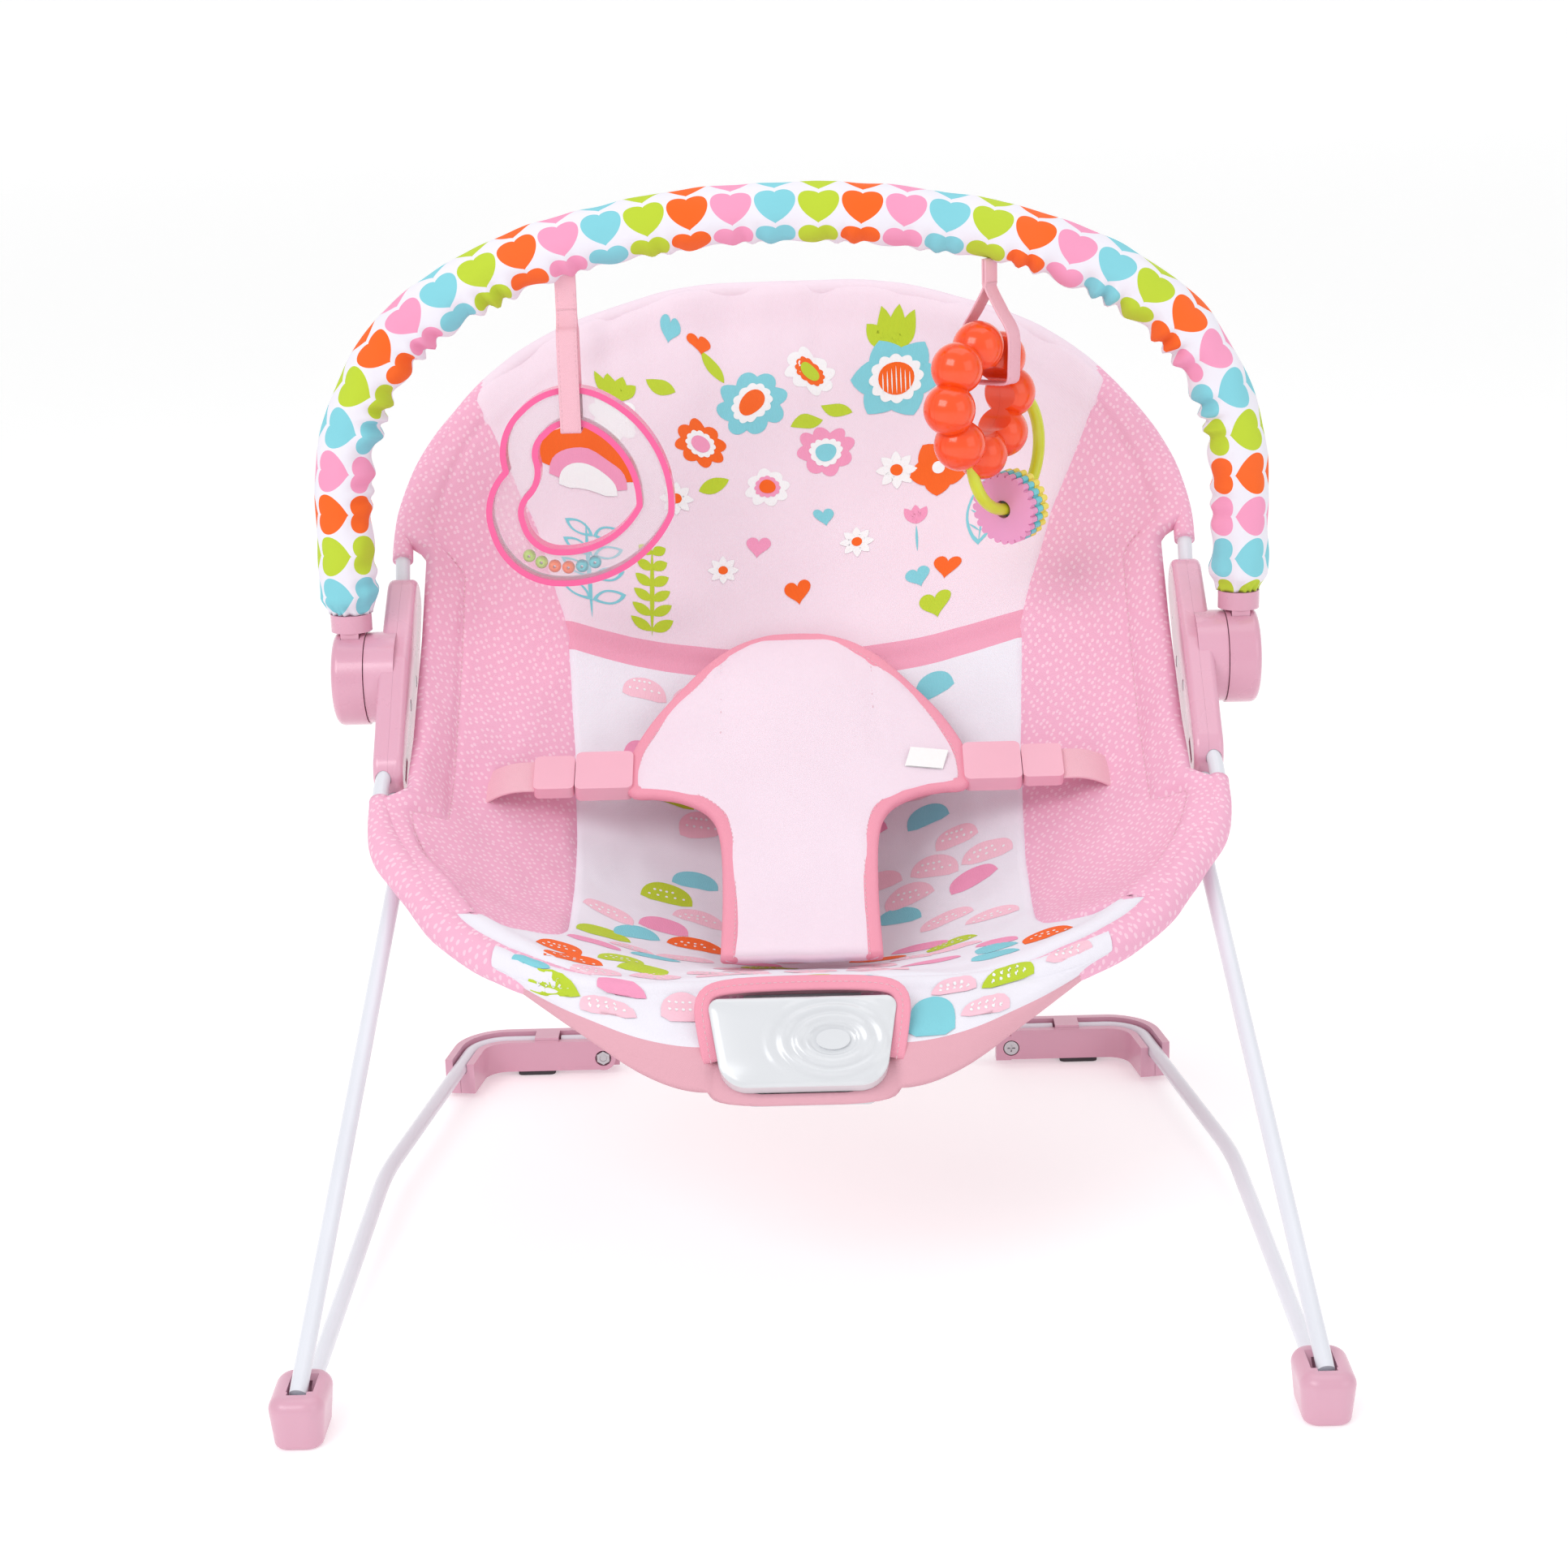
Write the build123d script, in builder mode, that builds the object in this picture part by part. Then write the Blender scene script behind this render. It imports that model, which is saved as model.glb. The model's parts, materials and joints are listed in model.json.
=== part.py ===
"""Baby bouncer seat: a padded cloth seat slung on a springy rod frame, with a toy bar.

Millimetres. The origin is on the floor at the centre of the footprint, +X is to the
right seen from the front, -Y is the front and +Z is up. "Left" is the -X side.
"""

import os
from math import cos, radians, sin, sqrt

from build123d import *

os.makedirs("parts", exist_ok=True)

# ---- Frame rods ----
ROD = 8.0  # diameter of every frame rod and tube
BORE_GAP = 0.4  # how much wider a bore is than the rod in it
FRONT = -261.25  # Y of the bends inside the front feet
FOOT_X = 227.0  # X of the rods at the front feet
BEND_RADIUS = 6.5  # of the rod's sharp turn inside each front foot
FLOOR_ROD_Z = 10.0  # rod centre just behind the front feet
BEND_Z = FLOOR_ROD_Z + BEND_RADIUS
LEG_ANGLE = 33.3  # slope of the leg rods, degrees
BEND_GAP_ANGLE = 13.0  # the bend stops this short of the leg rod, degrees
CORNER = (196.0, FRONT + 441.0, 18.0)  # where a floor rod turns in at the back
CORNER_RADIUS = 22.0
BRACKET_END_X = 121.0  # X of the bracket bolts

# ---- Side hubs ----
HUB_SPLIT_X = 214.0  # the two shells of a hub meet here, on the rods' centres
HUB_INNER_X = 206.5
HUB_OUTER_X = 222.0
BOSS_X = 230.0  # the raised boss that carries the toy-bar socket
PIVOT = (FRONT + 348.0, 265.0)  # Y and Z of the toy bar's pivot
SOCKET_RADIUS = 25.5
SOCKET_X = (230.4, 247.6)
STUB_RADIUS = 10.0
FRONT_SLOPE = 0.5  # fall of the seat-front tube
HUB_LOW = (FRONT + 312.0, 239.0)  # Y and Z of the seat-front tube's ends
HUB_HIGH = (FRONT + 368.0, 281.0)  # Y and Z of the seat-back tube's ends

# ---- Toy bar ----
BAR_X = 238.0  # half the distance between the bar's two ends
BAR_END_Z = 301.0
BAR_CORNERS = [(238.0, 388.0), (207.0, 449.0), (140.0, 487.0), (50.0, 505.8)]  # X and Z
BAR_CORNER_RADII = [130, 110, 250, 450]
COVER_DIAMETER = 31.0
CORE_DIAMETER = 16.0
COLLAR_Z = 291.3
TONGUE = (9.6, 20.0, 24.0)  # the plug's flat tongue, X, Y and Z

# ---- Seat cloth: one rung for each distance behind the front feet ----
# distance, half width, rail height, centre height, half width of the centre panel
FRONT_RUNGS = [
    (156.0, 105.0, 161.0, 156.0, 105.0),
    (165.0, 129.0, 165.5, 153.5, 129.0),
    (185.0, 157.0, 175.5, 148.0, 157.0),
]
BACK_RUNGS = [
    (187.0, 159.0, 176.5, 147.0, 139.0),
    (205.0, 176.0, 185.5, 142.0, 128.0),
    (240.0, 198.0, 203.0, 133.0, 118.0),
    (290.0, 204.0, 228.0, 142.0, 116.0),
    (345.0, 204.0, 268.0, 190.0, 117.0),
    (400.0, 205.0, 313.0, 258.0, 122.0),
    (440.0, 202.0, 353.0, 312.0, 142.0),
    (470.0, 180.0, 383.0, 350.5, 166.0),
]
TOP_RUNGS = [
    (500.0, 146.0, 413.0, 390.0, 146.0),
    (522.0, 76.0, 435.0, 423.0, 76.0),
]
PANEL_GAP = 1.0  # between a panel's edge and the seam line
PAD_THICKNESS = 11.0

# ---- Restraint panel ----
CROTCH = (FRONT + 190.0, 155.0)  # Y and Z of its lower edge
RESTRAINT_SLOPE = 28.9
RESTRAINT_THICKNESS = 6.0

# ---- Vibration unit, in its own tilted plane ----
UNIT_TILT = 50.0
UNIT_TOP_WIDTH = 88.0
UNIT_BOTTOM_WIDTH = 68.0
UNIT_HEIGHT = 44.0
UNIT_DEPTH = 30.0
UNIT_SPLIT = 12.0  # depth of the front case
UNIT_WALL = 2.0
BUTTON = (14.0, 22.0)  # centre of the button on the face, from the lower edge's middle
BUTTON_SIZE = (16.0, 10.0)
LIGHT = (14.0, 32.0)
ARM_OVERLAP = 5.6  # how far the arm reaches past the front tube's centre
MOTOR_X = -25.0
MOTOR_LENGTH = 18.0
MOTOR_AXIS = (33.0, -19.0)  # height on the face, and depth
BATTERY_AXIS = (14.0, -20.4)

# ---- Toys ----
STRAP_WIDTH = 11.0
STRAP_THICKNESS = 1.2
LOOP_SLOPE = 1.5  # how fast a strap's loop closes above the toy: height over half gap
HEART_NOTCH = (-151.6, 375.8)  # X and Z of the heart's outer notch
HEART_TURN = -16.0  # the heart's tip points to the right and a little down, degrees
HEART_HALF_THICKNESS = 6.5
HEART_BAND = 20.0
RIM = 3.2  # width of the heart's coloured rims
HEART_STRAP = (-114.5, 395.2)  # X and Z of the bottom of the left strap's loop
BEAD_CENTRE = (-119.0, 360.0)
BEAD_ORBIT = 37.5
BEAD_PITCH = 11.2  # degrees
BEAD_DIAMETER = 7.0
RING_CENTRE = (100.0, FRONT + 337.0, 407.0)
RING_TURN = 52.0  # the flower ring's plane is turned this far from the front, degrees
RING_ORBIT = 28.0
RING_STRAP_ANGLE = 70.0  # where the strap holds the ring, from its right-hand side
BULB_RADIUS = 13.5
BULBS = 8
RING_HOLE = 18.5
RING_WALL = 2.0
HOOP_CENTRE = (23.6, -28.5)  # in the flower ring's plane
HOOP_RADIUS = 32.0
HOOP_DIAMETER = 6.5
GEAR_RADIUS = 18.6
GEAR_THICKNESS = 4.8
GEAR_PITCH = 5.3
GEAR_HOLE = 9.6

SIDES = (("left", -1), ("right", 1))


def save(piece, name):
    """Label a finished piece and write its STEP file."""
    piece.part.label = name
    export_step(piece.part, f"parts/{name}.step")


def mirrored(piece):
    """The same piece on the other side of the object."""
    with BuildPart() as other:
        mirror(piece.part, about=Plane.YZ)
    return other


def rod(points, radii, diameter=ROD, bore=0.0):
    """A round rod, or a tube when it has a bore, along straight runs joined by arcs."""
    with BuildPart() as piece:
        with BuildLine() as route:
            FilletPolyline(*points, radius=radii)
        path = route.wires()[0]
        with BuildSketch(Plane(origin=path @ 0, z_dir=path % 0)):
            Circle(diameter / 2)
            if bore:
                Circle(bore / 2, mode=Mode.SUBTRACT)
        sweep(path=path)
    return piece


# =====================================================================
# Base: floor rods, front feet, rear brackets
# =====================================================================


def floor_rod(sign):
    """The rod from the bend in a front foot, along the floor, into the rear bracket."""
    with BuildLine(Plane.YZ.offset(sign * FOOT_X)) as bend:
        CenterArc(
            (FRONT, BEND_Z),
            BEND_RADIUS,
            start_angle=270,
            arc_size=LEG_ANGLE + BEND_GAP_ANGLE - 180,
        )
    points = [
        (sign * FOOT_X, FRONT, FLOOR_ROD_Z),
        (sign * FOOT_X, FRONT + 80, FLOOR_ROD_Z),
        (sign * 224, FRONT + 250, CORNER[2]),
        (sign * CORNER[0], CORNER[1], CORNER[2]),
        (sign * 150, CORNER[1], CORNER[2]),
    ]
    with BuildPart() as piece:
        with BuildLine() as route:
            add(bend.line)
            FilletPolyline(*points, radius=[400, 300, CORNER_RADIUS])
        path = route.wires()[0]
        with BuildSketch(Plane(origin=path @ 0, z_dir=path % 0)):
            Circle(ROD / 2)
        sweep(path=path)
    return piece


def front_foot(sign):
    """A rounded plastic cap over the bend, open above it for the leg rod."""
    with BuildPart() as piece:
        with BuildSketch(Plane.XY):
            with Locations((sign * FOOT_X, FRONT + 2.5)):
                RectangleRounded(21.5, 34, 7)
        extrude(amount=24, taper=-6)
        fillet(piece.faces().sort_by(Axis.Z)[-1].edges(), 6)
        fillet(piece.faces().sort_by(Axis.Z)[0].edges(), 2.5)
        with BuildSketch(Plane.YZ.offset(sign * FOOT_X)):
            with Locations((FRONT, BEND_Z)):
                Circle(BEND_RADIUS + ROD / 2 + BORE_GAP)
            with Locations((FRONT + 20, FLOOR_ROD_Z)):
                Rectangle(40, ROD + BORE_GAP)
        extrude(amount=ROD / 2 + BORE_GAP, both=True, mode=Mode.SUBTRACT)
        leg_start = (
            FRONT - BEND_RADIUS * sin(radians(LEG_ANGLE)),
            BEND_Z + BEND_RADIUS * cos(radians(LEG_ANGLE)),
        )
        with BuildSketch(Plane.YZ.offset(sign * (FOOT_X - 1))):
            with Locations(Location((leg_start[0], leg_start[1]), LEG_ANGLE)):
                Rectangle(45, ROD + 6, align=(Align.MIN, Align.CENTER))
        extrude(amount=6, both=True, mode=Mode.SUBTRACT)
    return piece


def bracket_half(outer, round_end):
    """Half of the right rear bracket: a wall that cups the rods along their turn."""
    with BuildLine() as route:
        FilletPolyline(
            (202, FRONT + 400, CORNER[2]),
            CORNER,
            (BRACKET_END_X, CORNER[1], CORNER[2]),
            radius=CORNER_RADIUS,
        )
    path = route.wires()[0]
    if (path @ 0).X < (path @ 1).X:
        path = Wire([edge.reversed() for edge in path.edges()][::-1])
    inward = Vector(0, 0, 1).cross(path % 0)
    face = -1 if outer else 1
    bottom = 3.0
    top = 23.5 if outer else 21.0
    eye_z = 10.0
    with BuildPart() as piece:
        with BuildSketch(Plane(origin=path @ 0, x_dir=inward, z_dir=path % 0)):
            with Locations((face * 4.3, (bottom + top) / 2 - CORNER[2])):
                Rectangle(8.4, top - bottom)
            Circle((ROD + BORE_GAP) / 2, mode=Mode.SUBTRACT)
            with Locations((0, 5)):
                Rectangle(ROD + BORE_GAP, 10, mode=Mode.SUBTRACT)
        sweep(path=path)
        # the bolt eye at the inner end
        side = Plane.XZ.offset(-CORNER[1] + (0.1 if not outer else -8.5))
        with BuildSketch(side):
            with Locations((BRACKET_END_X, eye_z)):
                if round_end:
                    Circle(7.4)
                else:
                    Rectangle(9, 15, align=(Align.MAX, Align.CENTER))
                    Circle(4)
        extrude(amount=8.4)
        with BuildSketch(side):
            with Locations((BRACKET_END_X, eye_z)):
                Circle(2.2)
        extrude(amount=8.4, mode=Mode.SUBTRACT)
        sink = Plane.XZ.offset(-CORNER[1] + (8.5 if not outer else -8.5))
        with BuildSketch(sink):
            with Locations((BRACKET_END_X, eye_z)):
                Circle(4.8)
        extrude(amount=-3.2 if not outer else 3.2, mode=Mode.SUBTRACT)
        if not outer:
            # a bridge that keeps the rod down in the channel
            with Locations((154, CORNER[1] - 2.3, 22.95)):
                Box(14, 12.2, 1.4)
            with Locations((154, CORNER[1] - 6.35, 21.4)):
                Box(14, 4.1, 1.4)
        # clear the rods' channel again, the eye included
        with BuildSketch(Plane.YZ.offset(BRACKET_END_X - 12)):
            with Locations((CORNER[1], CORNER[2])):
                Circle((ROD + BORE_GAP) / 2)
        extrude(amount=30, mode=Mode.SUBTRACT)
    return piece


def cross_tube():
    """The rod that joins the two brackets, dipping towards the floor between them."""
    y = CORNER[1]
    half = [(146, y, 18), (106, y, 18), (82, y + 5, 8.5)]
    points = [(-x, py, z) for x, py, z in half] + half[::-1]
    return rod(points, [22, 22, 22, 22])


def floor_pads():
    """Two rubber pads under the rear brackets."""
    with BuildPart() as piece:
        with BuildSketch(Plane.XY):
            with Locations((-161, CORNER[1]), (161, CORNER[1])):
                RectangleRounded(22, 14, 3)
        extrude(amount=2.95)
    return piece


def bolt_row(kind):
    """The bracket bolts or their nuts: the two sides are put in from opposite ends."""
    with BuildPart() as piece:
        for _, sign in SIDES:
            start = CORNER[1] - sign * 8.3
            for_bolt = Plane(
                origin=(sign * BRACKET_END_X, start, 10.0), z_dir=(0, sign, 0)
            )
            for_nut = Plane(
                origin=(sign * BRACKET_END_X, CORNER[1] + sign * 8.3, 10.0),
                z_dir=(0, -sign, 0),
            )
            if kind == "bolt":
                with BuildSketch(for_bolt):
                    Circle(4.2)
                extrude(amount=2.4)
                with BuildSketch(for_bolt):
                    Circle(2.0)
                extrude(amount=16.4)
                with BuildSketch(for_bolt):
                    Rectangle(4.6, 1.0)
                    Rectangle(1.0, 4.6)
                extrude(amount=1.2, mode=Mode.SUBTRACT)
            else:
                with BuildSketch(for_nut):
                    RegularPolygon(4.2, 6)
                    Circle(2.1, mode=Mode.SUBTRACT)
                extrude(amount=2.6)
    return piece


for side_name, side_sign in SIDES:
    save(floor_rod(side_sign), f"base_wire_{side_name}")
    save(front_foot(side_sign), f"front_foot_{side_name}")

save(cross_tube(), "rear_cross_tube")
save(bracket_half(outer=False, round_end=False), "rear_bracket_right_front")
save(bracket_half(outer=True, round_end=True), "rear_bracket_right_rear")
save(mirrored(bracket_half(outer=False, round_end=True)), "rear_bracket_left_front")
save(mirrored(bracket_half(outer=True, round_end=False)), "rear_bracket_left_rear")
save(floor_pads(), "rear_foot_pads")
save(bolt_row("bolt"), "bracket_bolts")
save(bolt_row("nut"), "bracket_nuts")

# =====================================================================
# Seat frame: leg rods, hubs, seat-back tube, seat-front tube
# =====================================================================


def leg_rod(sign, diameter=ROD):
    """The springy rod that carries one hub."""
    start = (
        sign * FOOT_X,
        FRONT - BEND_RADIUS * sin(radians(LEG_ANGLE)),
        BEND_Z + BEND_RADIUS * cos(radians(LEG_ANGLE)),
    )
    knee = (sign * 207, FRONT + 240, 181.9)
    return rod([start, knee, (sign * HUB_SPLIT_X, FRONT + 318, 233)], [60], diameter)


def front_tube(diameter=ROD):
    """The loop that holds the front of the seat, in a plane that falls to the front."""
    run = sqrt(1 + FRONT_SLOPE**2)
    plan = [(HUB_SPLIT_X, 0), (219, 62), (165, 150), (95, 191)]
    half = [
        (x, HUB_LOW[0] - d / run, HUB_LOW[1] - d * FRONT_SLOPE / run) for x, d in plan
    ]
    points = half + [(-x, y, z) for x, y, z in half[::-1]]
    return rod(points, [90, 110, 100, 100, 110, 90], diameter)


def back_tube(diameter=ROD):
    """The arch that holds the seat back, in a plane at 45 degrees."""
    plan = [(HUB_SPLIT_X, 0), (219, 102), (155, 199), (60, 236)]
    half = [
        (x, HUB_HIGH[0] + d * sin(radians(45)), HUB_HIGH[1] + d * cos(radians(45)))
        for x, d in plan
    ]
    points = half + [(-x, y, z) for x, y, z in half[::-1]]
    return rod(points, [150, 150, 150, 150, 150, 150], diameter)


HUB_CIRCLES = [
    ((FRONT + 299.0, 226.0), 15.5),
    ((FRONT + 345.0, 262.0), 22.0),
    ((FRONT + 383.0, 296.0), 15.0),
]
HUB_SCREWS = [(FRONT + 331.0, 253.0), (FRONT + 357.0, 260.0)]  # Y and Z


def hub_slab(near_x, far_x):
    """The hub's outline as a slab between two values of X."""
    with BuildPart() as piece:
        with BuildSketch(Plane.YZ.offset(near_x)):
            for centre, radius in HUB_CIRCLES:
                with Locations(centre):
                    Circle(radius)
            make_hull()
        extrude(amount=far_x - near_x)
    return piece


def hub_inner(bores):
    """The right hub's inner shell."""
    with BuildPart() as piece:
        add(hub_slab(HUB_INNER_X, HUB_SPLIT_X - 0.05).part)
        fillet(piece.faces().sort_by(Axis.X)[0].edges(), 3)
        for bore in bores:
            add(bore.part, mode=Mode.SUBTRACT)
        for centre in HUB_SCREWS:
            with BuildSketch(Plane.YZ.offset(HUB_INNER_X)):
                with Locations(centre):
                    Circle(3.2)
            extrude(amount=2.2, mode=Mode.SUBTRACT)
            with BuildSketch(Plane.YZ.offset(HUB_INNER_X)):
                with Locations(centre):
                    Circle(1.6)
            extrude(amount=12, mode=Mode.SUBTRACT)
        # the slot that takes the hook on the seat cloth's edge
        with Locations((HUB_INNER_X, FRONT + 300, 225)):
            Box(5, 5, 14, rotation=(-45, 0, 0), mode=Mode.SUBTRACT)
    return piece


def hub_outer(bores):
    """The right hub's outer shell with the boss that carries the toy-bar socket."""
    with BuildPart() as piece:
        add(hub_slab(HUB_SPLIT_X, HUB_OUTER_X).part)
        fillet(piece.faces().sort_by(Axis.X)[-1].edges(), 3)
        with BuildSketch(Plane.YZ.offset(HUB_SPLIT_X)):
            with Locations(PIVOT):
                Circle(SOCKET_RADIUS - 1)
        extrude(amount=BOSS_X - HUB_SPLIT_X)
        with BuildSketch(Plane.YZ.offset(BOSS_X)):
            with Locations(PIVOT):
                Circle(STUB_RADIUS + 0.3)
        extrude(amount=-9.5, mode=Mode.SUBTRACT)
        for bore in bores:
            add(bore.part, mode=Mode.SUBTRACT)
        for centre in HUB_SCREWS:
            with BuildSketch(Plane.YZ.offset(HUB_SPLIT_X)):
                with Locations(centre):
                    Circle(1.6)
            extrude(amount=5.4, mode=Mode.SUBTRACT)
    return piece


def hub_screw_set():
    """Two screws in each hub, put in from the seat side."""
    with BuildPart() as piece:
        for _, sign in SIDES:
            for y, z in HUB_SCREWS:
                start = Plane(
                    origin=(sign * (HUB_INNER_X + 0.2), y, z), z_dir=(sign, 0, 0)
                )
                with BuildSketch(start):
                    Circle(2.9)
                extrude(amount=1.8)
                with BuildSketch(start):
                    Circle(1.4)
                extrude(amount=12)
    return piece


for side_name, side_sign in SIDES:
    save(leg_rod(side_sign), f"leg_wire_{side_name}")

save(front_tube(), "front_frame_tube")
save(back_tube(), "back_frame_tube")

rod_bores = [
    leg_rod(1, ROD + BORE_GAP),
    front_tube(ROD + BORE_GAP),
    back_tube(ROD + BORE_GAP),
]
inner_shell = hub_inner(rod_bores)
outer_shell = hub_outer(rod_bores)
save(inner_shell, "hub_right_inner")
save(outer_shell, "hub_right_outer")
save(mirrored(inner_shell), "hub_left_inner")
save(mirrored(outer_shell), "hub_left_outer")
save(hub_screw_set(), "hub_screws")

# =====================================================================
# Soft seat: panels, restraint, waist straps and buckles
# =====================================================================


def cloth_z(x, rung):
    """Height of the seat's upper surface on one rung, a sagging parabola."""
    _, half_width, rail_z, centre_z, _ = rung
    return rail_z - (rail_z - centre_z) * (1 - (x / half_width) ** 2)


def pad_thickness(rung):
    """Vertical thickness: more where the seat is steep."""
    return PAD_THICKNESS * (1.0 if rung[0] < 300 else 1.45)


def cloth_panel(rungs, span, steps):
    """A padded panel lofted through the rungs; span gives each rung's X range."""
    with BuildPart() as piece:
        for rung in rungs:
            low_x, high_x = span(rung)
            xs = [low_x + (high_x - low_x) * i / steps for i in range(steps + 1)]
            upper = [(x, cloth_z(x, rung)) for x in xs]
            lower = [(x, z - pad_thickness(rung)) for x, z in upper]
            with BuildSketch(Plane.XZ.offset(-(FRONT + rung[0]))):
                with BuildLine():
                    Polyline(*upper, *lower[::-1], close=True)
                make_face()
        loft(ruled=True)
    return piece


def centre_span(rung):
    return PANEL_GAP - rung[4], rung[4] - PANEL_GAP


def side_span(rung):
    return rung[4] + PANEL_GAP, rung[1]


def restraint_plane():
    """The restraint's upper surface: it slopes up from the crotch to the seat back."""
    tilt = radians(RESTRAINT_SLOPE)
    return Plane(
        origin=(0, *CROTCH), x_dir=(1, 0, 0), z_dir=(0, -sin(tilt), cos(tilt))
    )


def restraint_panel():
    """The T-shaped crotch panel."""
    half = [(38, 0), (38, 78), (46, 101), (62, 113), (87, 119), (87, 148)]
    half += [(60, 192), (39, 226), (18, 237)]
    outline = half + [(-x, y) for x, y in half[::-1]]
    with BuildPart() as piece:
        with BuildSketch(restraint_plane()):
            with BuildLine():
                Polyline(*outline, close=True)
            make_face()
        extrude(amount=-RESTRAINT_THICKNESS)
    return piece


def strap_blocks(x_range, height, thickness):
    """One block on each side, in line with the restraint's wings."""
    with BuildPart() as piece:
        for _, sign in SIDES:
            middle = sign * (x_range[0] + x_range[1]) / 2
            plane = restraint_plane().offset(-RESTRAINT_THICKNESS / 2)
            with BuildSketch(plane):
                with Locations((middle, 134)):
                    RectangleRounded(x_range[1] - x_range[0], height, height / 8)
            extrude(amount=thickness / 2, both=True)
    return piece


def waist_strap(sign):
    """The webbing between a buckle and the side panel."""
    plane = restraint_plane().offset(-RESTRAINT_THICKNESS / 2)
    with BuildPart() as piece:
        with BuildSketch(plane):
            with Locations((sign * 149, 134)):
                Rectangle(17, 22)
        extrude(amount=0.8, both=True)
    return piece


save(cloth_panel(FRONT_RUNGS, lambda r: (-r[1], r[1]), 8), "seat_front_panel")
save(cloth_panel(BACK_RUNGS + TOP_RUNGS, centre_span, 6), "seat_centre_panel")
side_panel = cloth_panel(BACK_RUNGS, side_span, 3)
save(side_panel, "seat_side_right")
save(mirrored(side_panel), "seat_side_left")
save(restraint_panel(), "restraint_pad")
save(strap_blocks((87.5, 118), 28, 9), "buckle_sockets")
save(strap_blocks((118.5, 140), 25, 7), "buckle_plugs")
for side_name, side_sign in SIDES:
    save(waist_strap(side_sign), f"waist_strap_{side_name}")

# =====================================================================
# Vibration unit on the front tube
# =====================================================================

UNIT_ORIGIN = (0, FRONT + 89.0, 125.5)
UNIT_NORMAL = (0, -sin(radians(UNIT_TILT)), cos(radians(UNIT_TILT)))


def unit_plane(height=0.0):
    """The plane of the unit's face, or one parallel to it."""
    face = Plane(origin=UNIT_ORIGIN, x_dir=(1, 0, 0), z_dir=UNIT_NORMAL)
    return face.offset(height)


def unit_outline(inset=0.0):
    """A trapezoid with well rounded lower corners, wider at the top."""
    top = UNIT_TOP_WIDTH / 2
    low = UNIT_BOTTOM_WIDTH / 2
    with BuildSketch(Plane.XY) as outline:
        with BuildLine():
            FilletPolyline(
                (-top, UNIT_HEIGHT),
                (-low, 0),
                (low, 0),
                (top, UNIT_HEIGHT),
                radius=[14, 14, 5, 5],
                close=True,
            )
        make_face()
        if inset:
            offset(amount=-inset, mode=Mode.REPLACE)
    return outline.sketch


def case_shell(front_z, back_z, closed_at_front):
    """One half of the case: a wall round the outline and one closed face."""
    wall = UNIT_WALL
    with BuildPart() as piece:
        with BuildSketch(unit_plane(back_z)):
            add(unit_outline())
        extrude(amount=front_z - back_z)
        hollow_from = back_z if closed_at_front else back_z + wall
        with BuildSketch(unit_plane(hollow_from)):
            add(unit_outline(inset=wall))
        extrude(amount=front_z - back_z - wall, mode=Mode.SUBTRACT)
    return piece


def case_front():
    """The white front case with its button opening and light hole."""
    with BuildPart() as piece:
        add(case_shell(0, -UNIT_SPLIT, True).part)
        fillet(piece.faces().sort_by(Axis.Z)[-1].edges().group_by(Axis.Y)[0], 0.8)
        with BuildSketch(unit_plane()):
            with Locations(BUTTON):
                Ellipse(BUTTON_SIZE[0] / 2 + 0.3, BUTTON_SIZE[1] / 2 + 0.3)
            with Locations(LIGHT):
                Circle(1.7)
        extrude(amount=-UNIT_WALL - 1, mode=Mode.SUBTRACT)
    return piece


def tube_in_unit():
    """Where the front tube passes in the unit's plane: along its height, and behind it."""
    run = sqrt(1 + FRONT_SLOPE**2)
    dy = HUB_LOW[0] - 191 / run - UNIT_ORIGIN[1]
    dz = HUB_LOW[1] - 191 * FRONT_SLOPE / run - UNIT_ORIGIN[2]
    tilt = radians(UNIT_TILT)
    return dy * cos(tilt) + dz * sin(tilt), dz * cos(tilt) - dy * sin(tilt)


def case_back():
    """The grey rear case with the arm that grips the front tube."""
    along, behind = tube_in_unit()
    with BuildPart() as piece:
        add(case_shell(-UNIT_SPLIT - 0.1, -UNIT_DEPTH, False).part)
        with BuildSketch(unit_plane(behind)):
            with Locations((0, (UNIT_HEIGHT - 1 + along + ARM_OVERLAP) / 2)):
                Rectangle(56, along + ARM_OVERLAP + 1 - UNIT_HEIGHT)
        extrude(amount=6.5, both=True)
        axis = unit_plane().from_local_coords((0, along, behind))
        with BuildSketch(Plane.YZ.offset(-30)):
            with Locations((axis.Y, axis.Z)):
                Circle((ROD + BORE_GAP) / 2)
        extrude(amount=60, mode=Mode.SUBTRACT)
        # the battery opening in the back
        with BuildSketch(unit_plane(-UNIT_DEPTH)):
            with Locations((0, 15)):
                Rectangle(56, 18)
        extrude(amount=UNIT_WALL, mode=Mode.SUBTRACT)
        # clear the inside again where the arm's root meets it
        with BuildSketch(unit_plane(-UNIT_DEPTH + UNIT_WALL)):
            add(unit_outline(inset=UNIT_WALL))
        extrude(amount=UNIT_DEPTH - UNIT_WALL - UNIT_SPLIT, mode=Mode.SUBTRACT)
    return piece


def unit_block(centre, size, low, high, corner=0.0):
    """A rectangular piece inside the unit between two depths."""
    with BuildPart() as piece:
        with BuildSketch(unit_plane(low)):
            with Locations(centre):
                if corner:
                    RectangleRounded(*size, corner)
                else:
                    Rectangle(*size)
        extrude(amount=high - low)
    return piece


def unit_cylinder(start_x, length, along, depth, radius):
    """A cylinder that lies across the unit, parallel to X."""
    axis = unit_plane().from_local_coords((0, along, depth))
    with BuildPart() as piece:
        with BuildSketch(Plane.YZ.offset(start_x)):
            with Locations((axis.Y, axis.Z)):
                Circle(radius)
        extrude(amount=length)
    return piece


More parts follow.
